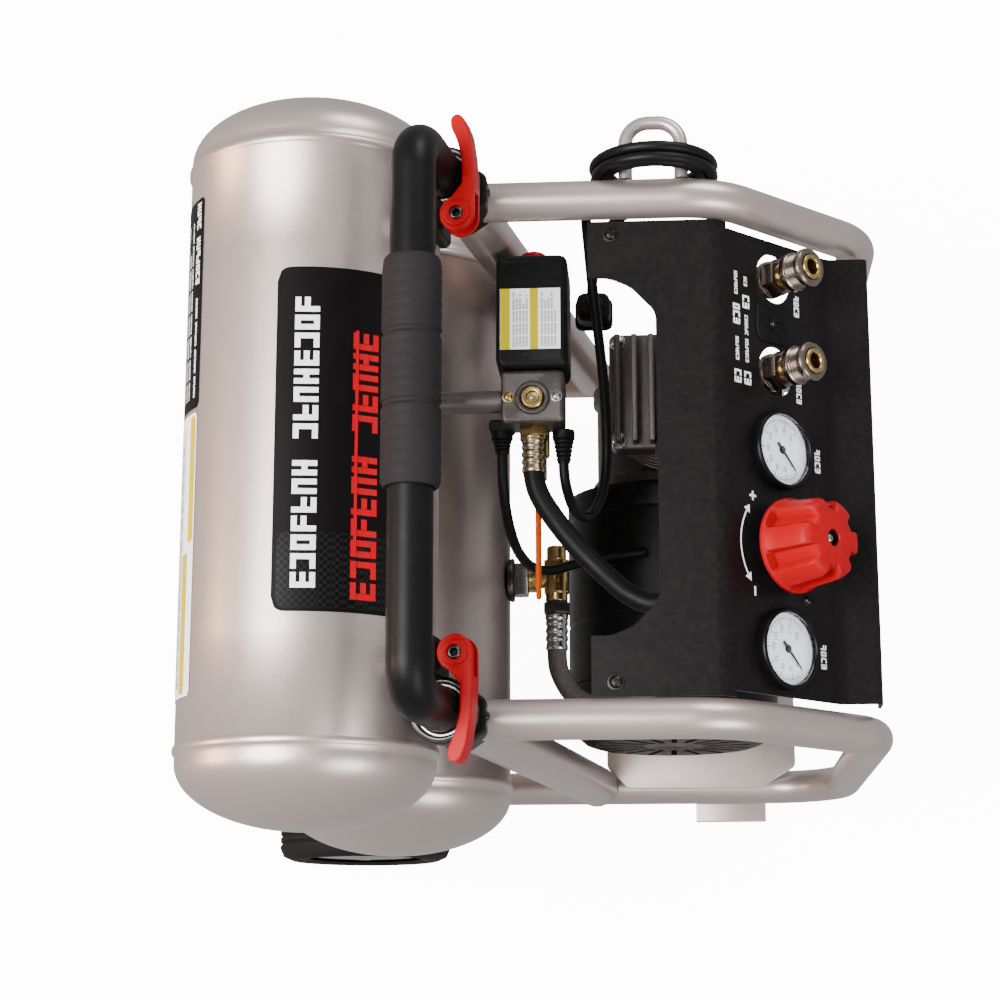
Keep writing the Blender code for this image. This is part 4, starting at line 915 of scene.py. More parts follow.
# -------------------------------------------------------------------- wheels
def make_wheels():
    for sign in (-1, 1):
        side = side_of(sign)
        at = place(sign * WHEEL_INNER_X, WHEEL_Y, WHEEL_RADIUS, (sign, 0, 0))
        w = WHEEL_WIDTH
        tread = [(WHEEL_RADIUS - 0.4, 8), (WHEEL_RADIUS, 9)]
        for k in range(3):
            z = 12.5 + 6 * k
            tread += [(WHEEL_RADIUS, z - 1), (WHEEL_RADIUS - 1.6, z - 0.6), (WHEEL_RADIUS - 1.6, z + 0.6),
                      (WHEEL_RADIUS, z + 1)]
        tread += [(WHEEL_RADIUS, w - 9), (WHEEL_RADIUS - 0.4, w - 8)]
        profile = [(44, 2), (47, 0.6), (57, 0), (64, 3)] + tread + [(64, w - 3), (57, w), (47, w - 0.6),
                                                                    (44, w - 2)]
        piece("tyre_ring_" + side, lathe(profile, 96, 0.8), "wheel_" + side, "tyre_rubber", at,
              "tyre_" + side)
        hub = [(6.3, 2), (18, 2), (20, 10), (36, 12), (43.6, 4), (43.6, w - 4), (41, w - 4), (37, w - 7.5),
               (21, w - 7), (18, w - 2.5), (16, w - 2), (6.3, w - 2)]
        ribs = ring_of(lambda: slab((19, 3.2, 3.4), (29, 0, WHEEL_WIDTH - 6.6), 1, 0.8, 2), 6)
        piece("wheel_disc_" + side, merged(lathe(hub, 72, 0.7), *ribs), "wheel_" + side, "wheel_plastic",
              at, "wheel_hub_" + side)
        cap = lathe([(6.3, w - 3), (9.5, w - 3), (9.5, w - 2.2), (7, w - 1.6), (6.3, w - 1.6)], 32, 0.3)
        piece("axle_washer_" + side, cap, "wheel_" + side, "zinc_steel", at)
    shaft = lathe([(0, -225), (5, -225), (6, -223.6), (6, 223.6), (5, 225), (0, 225)], 32, 0.4)
    piece("axle_rod", shaft, "frame", "zinc_steel", place(0, WHEEL_Y, WHEEL_RADIUS, (1, 0, 0)), "axle")


# ------------------------------------------------------------- base and feet
def make_base():
    inner = 153.3
    edge = RAIL_X + 2
    corners = [(inner, -179), (edge, -152), (edge, -48.2), (inner, -31.2)]
    outline = rounded(corners + [(-x, y) for x, y in reversed(corners)], 3, 4, closed=True)
    legs = []
    for sign in (-1, 1):
        fold = [(inner - 3, 54), (inner, 54), (inner, 27.1), (194, 27.1), (194, 24.3), (inner - 3, 24.3)]
        leg = plate(rounded([(sign * x, z) for x, z in fold], 1.2, 4, closed=True), 101, 156.3, 0.5, 2)
        legs.append((leg, Matrix.Rotation(math.pi / 2, 4, "X")))
    sheet = merged(plate(outline, 53.2, 56.2, 0.7, 2), *legs)
    piece("base_sheet", sheet, "frame", "frame_paint", Matrix(), "base_plate")
    for sign in (-1, 1):
        side = side_of(sign)
        foot = lathe([(0, 0), (15.6, 0), (17, 1.4), (16.4, 6), (15.4, 9), (15.0, 12), (14.2, 24), (0, 24)],
                     48, 0.8)
        foot.transform(Matrix.Translation((sign * RAIL_X, FOOT_Y, 0)))
        piece("rubber_foot_" + side, foot, "frame", "grip_rubber", Matrix(), "foot_" + side)
        screw("motor_screw_front_" + side, place(-32 + sign * 50, MOTOR_Y - 62, 56.9), 3.6)


# ------------------------------------------------------------- control panel
def make_panel():
    t = 2.0
    shift = t * math.tan(math.radians(22.5))
    outside = rounded([(-33, 464), (-116, 464), (-191, 389), (-218, 389), (-218, 366)], 5, 6)
    inside = rounded([(-216, 366), (-216, 387), (-191 + shift, 387), (-116 + shift, 462), (-33, 462)], 3.4,
                     6)
    turn = Matrix(((0, 0, 1, 0), (1, 0, 0, 0), (0, 1, 0, 0), (0, 0, 0, 1)))
    sheet = plate(outside + inside, -154, 154)
    sheet.transform(turn)
    notch = rounded([(-116, 0), (-116, -46), (-110, -60), (-93, -76), (93, -76), (110, -60), (116, -46),
                     (116, 0)], 5, 5)
    tools = [plate(notch, 440, 490)]
    for sign in (-1, 1):
        tools.append(slab((20, 150, 190), (sign * 160, -197, 400), 0.2, 0.1, 1))
    holes = [(TANK_GAUGE_X, 22.5), (TOOL_GAUGE_X, 22.5), (KNOB_X, 17)] + [(x, 16.5) for x in COUPLER_XS]
    for x, radius in holes:
        tools.append(merged((plate(polygon(radius, 64), -12, 12), face_frame(x))))
    sheet = booleaned(sheet, *tools)
    obj = piece("panel_sheet", sheet, "frame", "panel_paint", Matrix(), "control_panel")
    soften(obj, 0.6, 40)
    for k, (x, y) in enumerate(((-145, -48), (145, -48))):
        screw("panel_screw_%d" % k, place(x, y, 464.7), 4.0, finish=BLACK_SCREW)
    screw("face_screw", face_frame(-86) @ Matrix.Translation((0, -24, 0.7)), 3.4, finish=BLACK_SCREW)
    screw("coupler_screw", face_frame(93.5) @ Matrix.Translation((0, 2, 1.9)), 3.4, finish=BLACK_SCREW)
    pad = plate(rectangle(26, 36, 8), 0.05, 1.2, 0.5)
    piece("coupler_pad", pad, "frame", "black_plastic", face_frame(93.5))


def soften(obj, width, angle):
    """Small rounded edges wherever the faces meet more sharply than the angle."""
    modifier = obj.modifiers.new("soften", "BEVEL")
    modifier.width = width * MM
    modifier.segments = 2
    modifier.limit_method = "ANGLE"
    modifier.angle_limit = math.radians(angle)
    modifier.harden_normals = True


def ring_arc(radius, width, start, end, lift, steps=24):
    """Flat curved bar, from start to end degrees."""
    bm = bmesh.new()
    rows = []
    for k in range(steps + 1):
        a = math.radians(start + (end - start) * k / steps)
        rows.append([bm.verts.new((r * math.cos(a), r * math.sin(a), lift)) for r in (radius - width / 2,
                                                                                     radius + width / 2)])
    for low, high in zip(rows, rows[1:]):
        bm.faces.new((low[0], low[1], high[1], high[0]))
    return bm


def bar(x, y, width, height, lift, turn=0.0):
    bm = bmesh.new()
    spin = Matrix.Rotation(math.radians(turn), 4, "Z")
    corners = [(-width / 2, -height / 2), (width / 2, -height / 2), (width / 2, height / 2),
               (-width / 2, height / 2)]
    bm.faces.new([bm.verts.new(Vector((x, y, lift)) + spin @ Vector((a, b, 0))) for a, b in corners])
    return bm


def arrow(x, y, size, lift, turn):
    bm = bmesh.new()
    spin = Matrix.Rotation(math.radians(turn), 4, "Z")
    corners = [(0, -size * 0.6), (size, 0), (0, size * 0.6)]
    bm.faces.new([bm.verts.new(Vector((x, y, lift)) + spin @ Vector((a, b, 0))) for a, b in corners])
    return bm


def polar(radius, degrees):
    return radius * math.cos(math.radians(degrees)), radius * math.sin(math.radians(degrees))


def dashes(x0, x1, y, height, lift, along_row=lambda x, y, lift: (x, y, lift)):
    """A row of small strokes in groups that reads as a line of print, yet says nothing."""
    bm = bmesh.new()
    wide = height * 0.62
    stroke = height * 0.23
    top = height / 2
    left = (0, -top, stroke, top)
    right = (wide - stroke, -top, wide, top)
    upper = (0, top - stroke, wide, top)
    lower = (0, -top, wide, stroke - top)
    middle = (stroke, -stroke / 2, wide, stroke / 2)
    shapes = ((left, upper, lower, middle), (left, right, upper, lower), (left, upper, middle),
              (left, right, middle), (upper, right, lower), (left, middle, lower), (left, right, lower))
    x = x0
    k = 0
    while x + wide <= x1 + 0.01:
        if k % 9 != 7:
            for a0, b0, a1, b1 in shapes[(k * 4 + k // 9) % 7]:
                corners = [(x + a0, y + b0), (x + a1, y + b0), (x + a1, y + b1), (x + a0, y + b1)]
                bm.faces.new([bm.verts.new(along_row(a, b, lift)) for a, b in corners])
        x += height * 0.76
        k += 1
    return bm


def make_panel_print():
    """White arc with arrows and signs round the knob, and rows of strokes in place of words."""
    r = 37.5
    marks = [ring_arc(r, 1.1, 56, 124, 0.12, 32)]
    marks.append(arrow(*polar(r, 57), 5.0, 0.12, -33))
    marks.append(arrow(*polar(r, 123), 5.0, 0.12, 213))
    plus_x, plus_y = polar(40, 40)
    marks += [bar(plus_x, plus_y, 6, 1.5, 0.12), bar(plus_x, plus_y, 1.5, 6, 0.12),
              bar(-plus_x, plus_y, 6, 1.5, 0.12)]
    piece("knob_print", merged(*marks), "frame", "panel_paint", face_frame(KNOB_X), finish=INK_WHITE)
    rows = [(48, 59, 36.5, 6.4), (63, 83, 36.5, 3.0), (87, 103, 36.5, 6.4), (107, 123, 36.5, 3.0),
            (48, 59, 27.5, 6.4), (63, 96, 27.5, 3.0), (99, 110, 27.5, 6.4), (114, 121, 27.5, 3.0),
            (103, 120, -21, 5.0), (44, 61, -21, 5.0), (0, 17, -37, 5.4), (-129, -112, -37, 5.4)]
    words = [dashes(x0, x1, up, height, 0.12) for x0, x1, up, height in rows]
    piece("panel_print", merged(*words), "frame", "panel_paint", face_frame(0), finish=INK_WHITE)


# -------------------------------------------------------------------- gauges
def digits(text, x, y, size, lift, turn=0.0):
    """Mesh of a short number, centred at x, y."""
    curve = bpy.data.curves.new("digits", "FONT")
    curve.body = text
    curve.size = size
    curve.align_x = "CENTER"
    curve.align_y = "CENTER"
    obj = linked("digits", curve)
    bpy.context.view_layer.update()
    shown = obj.evaluated_get(bpy.context.evaluated_depsgraph_get())
    bm = bmesh.new()
    bm.from_mesh(shown.to_mesh())
    shown.to_mesh_clear()
    bpy.data.objects.remove(obj)
    bpy.data.curves.remove(curve)
    bm.transform(Matrix.Translation((x, y, lift)) @ Matrix.Rotation(math.radians(turn), 4, "Z"))
    return bm


def make_gauge(name, x, label_step):
    at = face_frame(x)
    case = [(0, -26), (21.5, -26), (21.5, 0.3), (26, 0.3), (26, 5.6), (25.2, 6.9), (23.6, 7.2), (23, 6.2),
            (22.9, 2.5), (0, 2.5)]
    piece(name + "_case", lathe(case, 72, 0.4), "frame", "gauge_black", at, name + "_gauge_case")
    dial = bmesh.new()
    dial.faces.new([dial.verts.new((a, b, 2.62)) for a, b in polygon(22.8, 72)])
    piece(name + "_dial", dial, "frame", "gauge_black", at, finish=DIAL_WHITE)
    ticks = []
    for k in range(41):
        degrees = 225 - 270 * k / 40
        major = k % 5 == 0
        inner = 15.8 if major else 17.4
        ticks.append(bar(*polar((inner + 19.4) / 2, degrees), 19.4 - inner, 0.55 if major else 0.28, 2.7,
                         degrees))
    ticks.append(ring_arc(19.6, 0.3, -45, 225, 2.7, 60))
    for k in range(9):
        degrees = 225 - 270 * k / 8
        ticks.append(digits(str(k * label_step), *polar(12.6, degrees), 4.0, 2.7))
    piece(name + "_scale", merged(*ticks), "frame", "gauge_black", at, finish=INK_BLACK)
    needle = lathe([(0, 2.9), (2.6, 2.9), (2.6, 3.8), (1.6, 4.1), (0, 4.1)], 32, 0.2)
    blade = plate([(-1.1, -6), (1.1, -6), (0.8, 0), (0.35, 16.5), (-0.35, 16.5), (-0.8, 0)], 3.15, 3.8, 0.1,
                  1)
    swing = Matrix.Rotation(math.radians(135), 4, "Z")
    piece(name + "_pointer", merged(needle, (blade, swing)), name + "_needle", "gauge_black", at,
          name + "_gauge_needle")
    lens = lathe([(0, 6.6), (12, 6.4), (22.9, 5.6), (22.9, 5.0), (0, 5.9)], 64)
    piece(name + "_lens", lens, "frame", "gauge_black", at, finish=GLASS)


# ------------------------------------------------------- regulator, couplers
def make_regulator():
    at = face_frame(KNOB_X)
    bonnet = [(14, -62), (14, -44), (21, -44), (21, -2.4), (16, -2.4), (16, 1), (20, 1), (20, 6.4),
              (18.6, 8), (0, 8)]
    gallery = slab((190, 20, 20), (90, 0, -42), 4, 2)
    base = lathe([(0, -62)] + bonnet, 56, 0.8)
    middle = at @ Vector((0, 0, -34))
    inlet_at = at.inverted() @ place(*middle, (-0.5, 0.866, 0))
    inlet = lathe([(0, 0), (10, 0), (10, 34), (7.4, 34), (7.4, 30), (0, 30)], 40, 0.4)
    piece("regulator_body", merged(base, gallery, (inlet, inlet_at)), "frame", "cast_aluminium", at,
          "regulator")
    make_knob(at)


def make_knob(at):
    """Round flange, six squarish lobes that taper upwards, and a screw well."""
    bm = bmesh.new()
    levels = [(8.6, 30.0, 0.0), (9.2, 30.5, 0.0), (11.4, 30.5, 0.0), (12.2, 29.8, 0.0), (13.0, 29.0, 6.2),
              (22, 27.8, 6.2), (33, 26.8, 6.0), (38.5, 26.2, 6.0), (41.5, 25.0, 5.6), (43.3, 22.8, 5.0),
              (44, 20.0, 4.0)]
    count = 180
    loops = []
    for z, radius, depth in levels:
        ring = []
        for k in range(count):
            a = 2 * math.pi * k / count
            lobe = max(0.0, min(1.0, 0.95 - 1.7 * math.cos(6 * a)))
            r = radius - depth * (1 - lobe * lobe * (3 - 2 * lobe))
            ring.append(bm.verts.new((r * math.cos(a), r * math.sin(a), z)))
        loops.append(ring)
    for radius, z in ((5.6, 44), (5.2, 43.4), (5.1, 37)):
        loops.append([bm.verts.new((*polar(radius, 360 * k / count), z)) for k in range(count)])
    for low, high in zip(loops, loops[1:]):
        for k in range(count):
            j = (k + 1) % count
            bm.faces.new((low[k], low[j], high[j], high[k]))
    bm.faces.new(loops[-1])
    bm.faces.new(loops[0])
    piece("knob", bm, "knob", "red_plastic", at, "regulator_knob", sharp=40)
    well = lathe([(0, 37.1), (5.0, 37.1), (5.0, 43.2), (4.7, 43.2), (4.7, 37.6), (0, 37.6)], 48, 0.1)
    piece("knob_well", well, "knob", "gauge_black", at)
    screw("knob_screw", at @ Matrix.Translation((0, 0, 40.3)), 2.8, body="knob")


def make_coupler(index, x):
    at = face_frame(x)
    socket = [(4, -31.4), (8, -31.4), (8, 4), (8, 9), (8.2, 9), (8.2, 33.2), (7.6, 34), (5.6, 34), (5, 33),
              (4.6, 20), (4, 18), (0, 18)]
    stem = lathe(socket, 48, 0.3)
    nut = hexagon(13.2, -1.5, 9)
    groove = lathe([(8.1, 9), (8.45, 9.3), (8.45, 12.2), (8.3, 12.8), (8.3, 14)], 48, 0.1)
    piece("coupler_stem_%d" % index, merged(stem, groove), "frame", "brass_fitting", at,
          "coupler_%d_body" % index)
    collar = lathe([(8, -6), (12, -6), (12.4, -5.4), (12.4, -1.6), (8, -1.6)], 48, 0.3)
    piece("coupler_hex_%d" % index, merged(nut, collar), "frame", "brass_fitting", at, finish=GUNMETAL)
    sleeve = [(8.6, 14.8), (11.6, 14.8), (12.6, 15.6), (12.8, 19.4), (11.6, 20.4)]
    for k in range(6):
        z = 21 + k * 1.05
        sleeve += [(11.6, z), (11.0, z + 0.35), (11.6, z + 0.7)]
    sleeve += [(11.6, 27.6), (12.8, 28.8), (12.8, 31.2), (11.6, 32.6), (8.9, 32.6), (8.6, 32)]
    piece("coupler_collar_%d" % index, lathe(sleeve, 64, 0.15), "coupler_sleeve_%d" % index, "zinc_steel",
          at, "coupler_%d_sleeve" % index, finish=GUNMETAL)


# ---------------------------------------------------------- switch and pipes
def make_switch():
    cover = slab((78, 48, 50), (111, 6, 391), 7, 4.5, 5)
    inside = slab((72, 42, 60), (111, 6, 382), 3, 1)
    stem = tube([(138, 6, 391), (158, 6, 391)], 9.6, 40)
    obj = piece("switch_cover", booleaned(cover, inside, stem), "frame", "black_plastic", Matrix(),
                "pressure_switch_cover")
    obj.data.set_sharp_from_angle(angle=math.radians(40))
    at = place(146, 6, 391, (1, 0, 0))
    button = lathe([(0, -3), (9, -3), (9, 9.4), (8.2, 11.4), (5.6, 12.7), (0, 13)], 48, 0.8)
    piece("stop_button_cap", button, "stop_button", "red_plastic", at, "switch_button")
    ring = lathe([(9.7, 3.8), (12.6, 3.8), (12.6, 4.8), (11.4, 5.8), (9.7, 5.8)], 48, 0.3)
    piece("button_bezel", ring, "frame", "black_plastic", at)
    top = 416.15
    piece("switch_label", bar(105, 7, 42, 40, top), "frame", "black_plastic", finish=INK_WHITE)
    bands = merged(bar(105, 23.6, 42, 6.4, top + 0.15), bar(105, 4.4, 42, 5.4, top + 0.15))
    piece("switch_label_band", bands, "frame", "black_plastic", finish=INK_YELLOW)
    rows = ((85.5, 124, 18), (86, 120, 15.8), (86, 123, 13.6), (86, 116, 11.4), (86, 122, 9.2),
            (86, 124, -0.8), (86, 118, -3.0), (86, 121, -5.2), (86, 124, -7.4), (86, 112, -9.6))
    lines = [dashes(x0, x1, y, 1.3, top + 0.15) for x0, x1, y in rows]
    piece("switch_label_lines", merged(*lines), "frame", "black_plastic", finish=INK_GREY)


def make_manifold():
    body = slab((36, 42, 30), (53.5, 6, 396), 5, 3, 4)
    boss = lathe([(0, -24), (10, -24), (11, -22), (11, 4), (0, 4)], 40, 0.6)
    collar = lathe([(7.8, 12), (11.5, 12), (11.5, 16.2), (10.6, 17.2), (8.6, 17.2), (7.8, 16.4)], 48, 0.4)
    neck = lathe([(0, 0), (9, 0), (9, 19.4), (8, 21), (0, 21)], 40, 0.5)
    pipe = lathe([(0, 0), (7.5, 0), (7.5, 74), (0, 74)], 32)
    web = slab((26, 30, 10), (53.5, 6, 378), 4, 2)
    whole = merged(body, (boss, place(*MANIFOLD)), (collar, place(*MANIFOLD)),
                   (neck, place(*MANIFOLD, (-1, 0, 0))), (pipe, place(52, 6, 402, (0, 1, 0))), web)
    piece("manifold_casting", whole, "frame", "cast_aluminium", Matrix(), "switch_manifold",
          finish=DARK_CAST)
    plug = lathe([(0, 15.8), (3.6, 15.8), (4.2, 18.6), (6.6, 18.8), (7.6, 18), (7.6, 14.8), (0, 14.8)], 48,
                 0.3)
    piece("manifold_brass_plug", plug, "frame", "brass_fitting", place(*MANIFOLD))
    pin = lathe([(0, 15.9), (1.7, 15.9), (1.4, 17.6), (0, 17.8)], 24, 0.2)
    piece("manifold_plug_pin", pin, "frame", "zinc_steel", place(*MANIFOLD))
    screw("manifold_screw_front", place(53, -10, 411.2), 2.9)
    screw("manifold_screw_rear", place(53, 22, 411.2), 2.9, "brass_fitting")
    nut = merged(hexagon(10.4, 16, 23), lathe([(7.6, 23), (9.2, 23), (9.2, 25), (7.6, 26)], 40, 0.3))
    piece("supply_nut", nut, "frame", "brass_fitting", place(*MANIFOLD, (-1, 0, 0)))
    bung = lathe([(7.4, 66), (11.5, 66), (12.5, 68), (12.5, 84), (7.4, 84)], 40, 0.6)
    piece("tank_bung", bung, "frame", "frame_paint", place(52, 6, 402, (0, 1, 0)))


def make_hose(name, route, radius, slot, node, sides=28):
    piece(name, tube(flowing(route, 4), radius, sides), "frame", slot, Matrix(), node)


def ferrule(name, start, toward, slot, radius, length=24.0, finish=None):
    """Crimped sleeve over a hose end, with its collar and pressed rings."""
    r = radius
    profile = [(r - 1.6, 0), (r + 0.2, 0), (r + 1.2, 0.8), (r + 1.2, 3.4), (r + 0.5, 4.4)]
    for k in range(3):
        z = 5.6 + k * (length - 9) / 3
        profile += [(r + 1.0, z), (r + 1.0, z + 2), (r + 0.2, z + 2.8), (r + 0.2, z + 3.6)]
    profile += [(r + 1.0, length - 1.6), (r + 0.5, length), (r - 1.6, length)]
    piece(name, lathe(profile, 40, 0.25), "frame", slot, place(*start, toward), finish=finish)


def make_lines():
    make_hose("supply_line", SUPPLY_HOSE, 7, "hose_rubber", "supply_hose")
    ferrule("supply_ferrule", (28.6, 6, 396), (-1, 0, 0.0), "brass_fitting", 7.1, 24, PALE_BRASS)
    make_hose("delivery_line", DELIVERY_HOSE, 7, "braid_hose", "delivery_hose")
    ferrule("delivery_ferrule_valve", (-66, -2, 260), (-1, 0, 0), "zinc_steel", 7.1, 26)
    ferrule("delivery_ferrule_head", (20, MOTOR_Y, 303), (-1, 0, 0), "zinc_steel", 7.1, 26)
    piece("delivery_nut", hexagon(10.4, 17, 25), "frame", "zinc_steel", place(*CHECK_VALVE, (-1, 0, 0)),
          finish=DARK_STEEL)
    make_hose("motor_cable", MOTOR_LEAD, 3.5, "cord_rubber", "motor_lead", 20)
    gland = [(3.7, 0), (7.2, 0), (7.2, 5)]
    for k in range(4):
        z = 5.5 + k * 2.3
        r = 6.2 - k * 0.5
        gland += [(r - 0.7, z), (r, z + 0.5), (r, z + 1.6), (r - 0.7, z + 2.0)]
    gland += [(3.9, 15), (3.7, 15)]
    piece("motor_cable_gland", merged(lathe(gland, 32, 0.3), hexagon(7.2, 0.3, 4)), "frame", "black_plastic",
          place(34.5, 27.5, 388, (-1, 0, 0)))
    piece("cable_bracket", slab((8, 17, 16), (38, 27.5, 388), 3, 2), "frame", "black_plastic")


def make_relief():
    lie = place(0, 5, 362, (-1, 0, 0))
    stem = lathe([(0, -59), (5, -59), (5, -47), (8, -47), (8, -24), (6, -24), (6, -8), (2.5, -8),
                  (2.5, 3.4), (2.1, 4), (0, 4)], 40, 0.5)
    riser = lathe([(0, 362), (4.5, 362), (4.5, 371.6), (0, 371.6)], 24)
    nut = hexagon(8.6, -46, -38)
    whole = merged((stem, lie), (nut, lie), (riser, Matrix.Translation((55, 5, 0))))
    piece("relief_valve", whole, "frame", "brass_fitting", Matrix(), "safety_valve")
    path = [(0, -3, 0), (3, -4.6, 0), (6, -6, 0)]
    for k in range(13):
        a = math.pi * k / 12
        path.append((60 + 6 * math.sin(a), -6 * math.cos(a), 0))
    path += [(6, 6, 0), (3, 4.6, 0), (0, 3, 0)]
    at = Matrix.Translation((-6.5, 5, 362)) @ Matrix.Rotation(math.pi, 4,
                                                              "Z") @ Matrix.Rotation(math.pi / 2, 4, "X")
    piece("relief_loop_wire", tube(path, 1.7, 16, closed=True), "relief_loop", "orange_ring", at,
          "relief_pull_loop")


def make_check_valve():
    lie = place(*CHECK_VALVE, (-1, 0, 0))
    body = lathe([(0, -24), (6, -24), (7, -23), (7, -14), (9, -14), (9, 10), (8, 10), (8, 16), (0, 16)], 40,
                 0.5)
    cap = hexagon(9.9, -13, -4)
    flats = hexagon(9.9, 2, 10)
    neck_at = place(*CHECK_VALVE, (0, 1, 0))
    neck = lathe([(0, 0), (6, 0), (6, 13), (9, 13), (9, 20), (0, 20)], 40, 0.5)
    piece("check_valve_body", merged((body, lie), (cap, lie), (flats, lie), (neck, neck_at)), "frame",
          "brass_fitting", Matrix(), "check_valve")
    bung = merged(hexagon(13, 20, 30), lathe([(0, 30), (15, 30), (16, 31.5), (14, 34.5), (0, 34.5)], 40,
                                             0.5))
    piece("tank_bung_lower", bung, "frame", "zinc_steel", neck_at, finish=DARK_STEEL)


# ------------------------------------------------------------ motor and pump
def make_motor():
    at = place(0, MOTOR_Y, MOTOR_Z, (1, 0, 0))
    shell = [(74, -104), (77, -104), (78, -101), (78, -60), (77.3, -59), (77.3, -57), (78, -56), (78, 20),
             (77.3, 21), (77.3, 23), (78, 24), (78, 36), (77, 40), (20, 40), (20, 36), (74, 36), (74, -104)]
    parts = [lathe(shell, 96, 0.5)]
    for sign in (-1, 1):
        foot = slab((120, 16, 44), (-32, MOTOR_Y + sign * 50, 79), 3, 2)
        parts.append((foot, at.inverted()))
    piece("motor_shell", merged(*parts), "frame", "motor_paint", at, "motor_housing")
    shaft = [(0, -134), (8, -134), (8, -60), (38, -60), (38, 12), (8, 12), (8, 74), (0, 74)]
    piece("rotor_core", lathe(shaft, 40, 0.5), "rotor", "rotor_steel", at, "motor_rotor")
    fan = lathe([(8.3, -132), (16, -132), (16, -112), (8.3, -112), (8.3, -132)], 40, 0.5)
    blades = ring_of(lambda: slab((38, 2, 18), (33, 0, -122), 0.6, 0.4, 2), 7)
    piece("fan_wheel", merged(fan, *blades), "rotor", "black_plastic", at, "cooling_fan")
    cover = [(64, -104.4), (78, -104.4), (78, -128), (75, -138), (66, -146), (60, -148), (0, -148),
             (0, -145.5), (60, -145.5), (64, -140), (64, -104.4)]
    vents = ring_of(lambda: slab((34, 4.2, 20), (40, 0, -148), 1.9, 0.2, 1), 18)
    piece("fan_shroud", booleaned(lathe(cover, 96, 0.8), merged(*vents)), "frame", "black_plastic", at,
          "fan_cover")
    for k in range(4):
        a = math.radians(45 + 90 * k)
        x, y = 77.6 * math.cos(a), 77.6 * math.sin(a)
        screw("shroud_screw_%d" % k, at @ place(x, y, -111, (math.cos(a), math.sin(a), 0)), 2.8)


def make_pump():
    at = place(0, MOTOR_Y, MOTOR_Z, (1, 0, 0))
    case = [(10, 40.5), (56, 40.5), (58, 42.5), (58, 52), (55, 54), (55, 114), (58, 116), (58, 126),
            (56, 128), (50, 128), (48, 124), (16, 124), (14, 127), (0, 127)]
    foot = slab((60, 84, 50), (CYLINDER_X, MOTOR_Y, 82), 5, 3)
    neck = lathe([(25.5, 182), (33, 182), (33, 232), (25.5, 232)], 56, 0.5)
    fins = [(25.5, 232)]
    for k in range(5):
        z = 232 + k * 9
        fins += [(41.4, z), (42, z + 0.6), (42, z + 3.4), (41.4, z + 4), (31, z + 4.6), (31, z + 8.4)]
    fins += [(42, 277), (42, 281), (25.5, 281), (25.5, 232)]
    upright = place(CYLINDER_X, MOTOR_Y, 0)
    back = at.inverted()
    piece("pump_casting", merged(lathe(case, 80, 0.8), (foot, back), (neck, back @ upright),
                                 (lathe(fins, 80, 0.3), back @ upright)), "frame", "cast_aluminium", at,
          "crankcase")
    for k in range(6):
        x, y = polar(52.5, 60 * k + 30)
        screw("pump_cover_screw_%d" % k, at @ Matrix.Translation((x, y, 128.2)), 3.2)
    head = [slab((84, 84, 20), (0, 0, -6), 9, 2.5)]
    for k in range(7):
        head.append(slab((78, 4, 13), (0, -36 + k * 12, 9.5), 1.5, 1.5, 3))
    port = lathe([(7.6, 0), (10, 0), (10, 15), (9, 16), (7.6, 16)], 40, 0.4)
    port_at = Matrix.Translation((-CYLINDER_X, -MOTOR_Y, -297.6)) @ place(51, MOTOR_Y, 303, (-1, 0, 0))
    piece("cylinder_head_casting", merged(*head, (port, port_at)), "frame", "cast_aluminium",
          Matrix.Translation((CYLINDER_X, MOTOR_Y, 297.6)), "cylinder_head")
    for k, (dx, dy) in enumerate(((-36, -36), (36, -36), (-36, 36), (36, 36))):
        screw("head_bolt_%d" % k, place(CYLINDER_X + dx, MOTOR_Y + dy, 302), 4.4)
    crown = lathe([(0, 246), (24.6, 246), (24.6, 256), (23, 258), (0, 258)], 56, 0.4)
    rod = slab((9, 16, 70), (0, 0, 213), 2, 1)
    piece("piston_crown", merged(crown, rod), "piston", "piston_alloy", upright, "wobble_piston")
    can = [(0, 0), (8, 0), (8, 8), (18.6, 8), (20, 9.6), (20, 32), (19, 34), (17, 34.6), (17, 36.6), (0, 37)]
    piece("intake_silencer", lathe(can, 56, 0.6), "frame", "black_plastic",
          place(CYLINDER_X, MOTOR_Y - 42.5, 298, (0, -1, 0)), "intake_filter")


def make_drain():
    body = lathe([(0, 136), (6.2, 136), (7, 137), (7, 144), (9, 144), (9, 158), (7, 158), (7, 166),
                  (0, 166)], 32, 0.5)
    piece("drain_cock", merged(body, hexagon(8.8, 158.4, 163)), "frame", "brass_fitting",
          Matrix.Translation((0, 113, 0)), "drain_valve_body")
    pivot = Matrix.Translation((0, 103.5, 151))
    boss = lathe([(0, 0), (6, 0), (6, 5), (0, 5)], 32, 0.5)
    arm = slab((40, 3, 9), (20, -3.5, 0), 1, 0.8)
    piece("drain_handle", merged((boss, along((0, -1, 0))), arm), "drain_lever", "red_plastic", pivot,
          "drain_valve_lever")


def make_hook():
    near = COIL_Y - 18
    far = COIL_Y + 18
    corners = [(x, y, TOP_RAIL_Z) for x, y in ((181.1, near), (220, near), (220, far), (181.1, far))]
    piece("hook_wire", tube(bent(corners, (15, 15), 12), 4.5, 28), "frame", "zinc_steel", Matrix(),
          "cord_hook", finish=FINISHES["frame_paint"])


def finish_bracket():
    """The axle bracket keeps its CAD shape and takes the frame's paint."""
    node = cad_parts["axle_bracket"]
    for k in range(max(1, len(node.material_slots))):
        node.material_slots[k].material = FINISHES["frame_paint"]


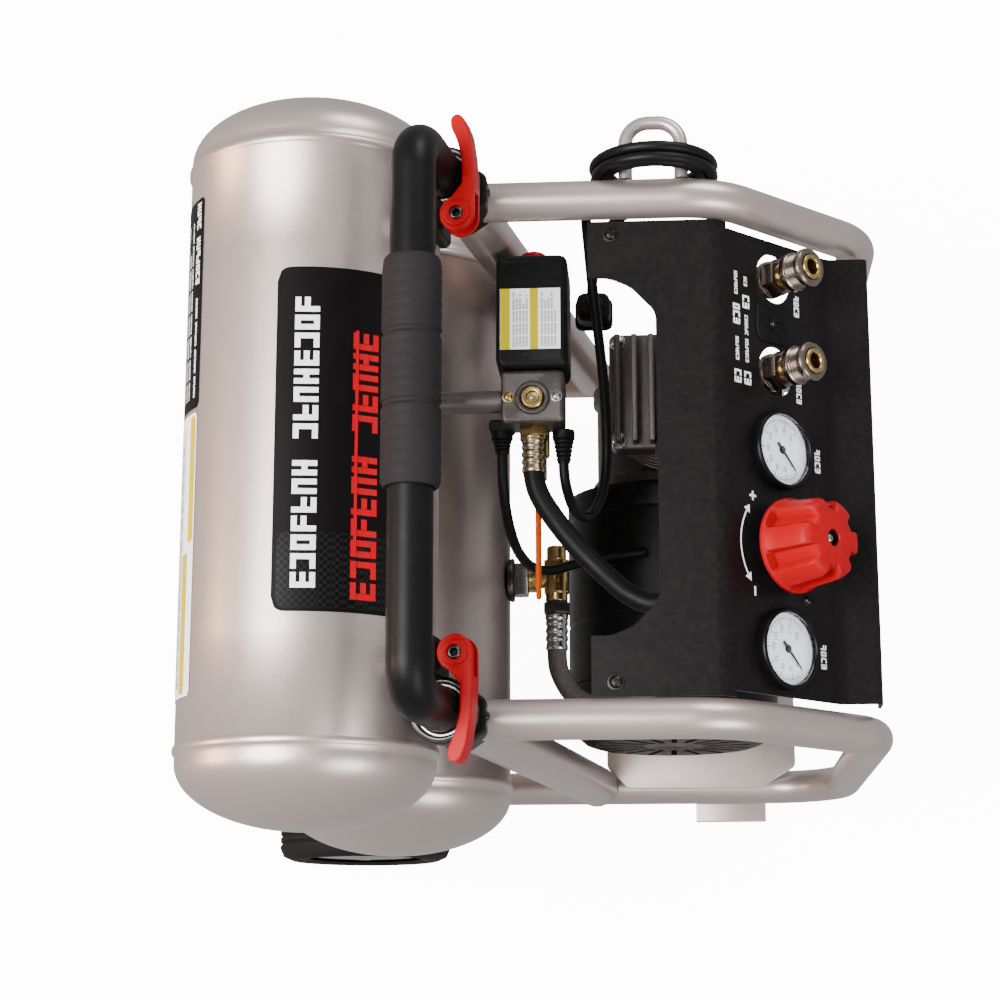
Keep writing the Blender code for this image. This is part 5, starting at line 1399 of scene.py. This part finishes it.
# --------------------------------------------------------------------- stage
def make_stage():
    bm = bmesh.new()
    size = 6000.0
    bm.faces.new([bm.verts.new(c) for c in ((-size, -size, -0.5), (size, -size, -0.5), (size, size, -0.5),
                                            (-size, size, -0.5))])
    bm.transform(Matrix.Scale(MM, 4))
    mesh = bpy.data.meshes.new("floor")
    bm.to_mesh(mesh)
    bm.free()
    floor = linked("floor", mesh)
    white = grained("floor_white", rgb(0.9, 0.9, 0.9), 0.7, contrast=0.01, depth=0.00001, specular=0.1)
    glow = white.node_tree.nodes["Principled BSDF"].inputs
    glow["Emission Color"].default_value = rgb(1, 1, 1)
    glow["Emission Strength"].default_value = 11.0
    mesh.materials.append(white)
    floor.visible_diffuse = False
    floor.visible_glossy = False
    world = bpy.data.worlds.new("studio")
    world.use_nodes = True
    world.node_tree.nodes["Background"].inputs[0].default_value = rgb(1, 1, 1)
    world.node_tree.nodes["Background"].inputs[1].default_value = 0.6
    bpy.context.scene.world = world
    add_light("key", (-0.3, 1.05, 2.5), 1.6, 140)
    add_light("fill", (-1.6, -1.6, 1.9), 1.4, 50)
    add_light("rim", (1.9, -1.0, 1.5), 1.2, 34)
    add_light("warm", (-0.3, 2.1, 1.1), 0.9, 42, (1.0, 0.6, 0.34))


def add_light(name, spot, size, power, colour=(1, 1, 1)):
    data = bpy.data.lights.new(name, "AREA")
    data.shape = "DISK"
    data.size = size
    data.energy = power
    data.color = colour
    light = linked(name, data)
    light.location = spot
    light.rotation_mode = "QUATERNION"
    light.rotation_quaternion = (Vector((0, 0, 0.3)) - Vector(spot)).to_track_quat("-Z", "Y")


make_camera()
make_cord()
make_tanks()
make_tank_labels()
make_side_frames()
make_masts()
make_handle()
make_clamps()
make_wheels()
make_base()
make_panel()
make_panel_print()
make_gauge("tank", TANK_GAUGE_X, 25)
make_gauge("tool", TOOL_GAUGE_X, 20)
make_regulator()
make_coupler(1, COUPLER_XS[0])
make_coupler(2, COUPLER_XS[1])
make_switch()
make_manifold()
make_relief()
make_check_valve()
make_lines()
make_motor()
make_pump()
make_drain()
make_hook()
finish_bracket()
make_stage()
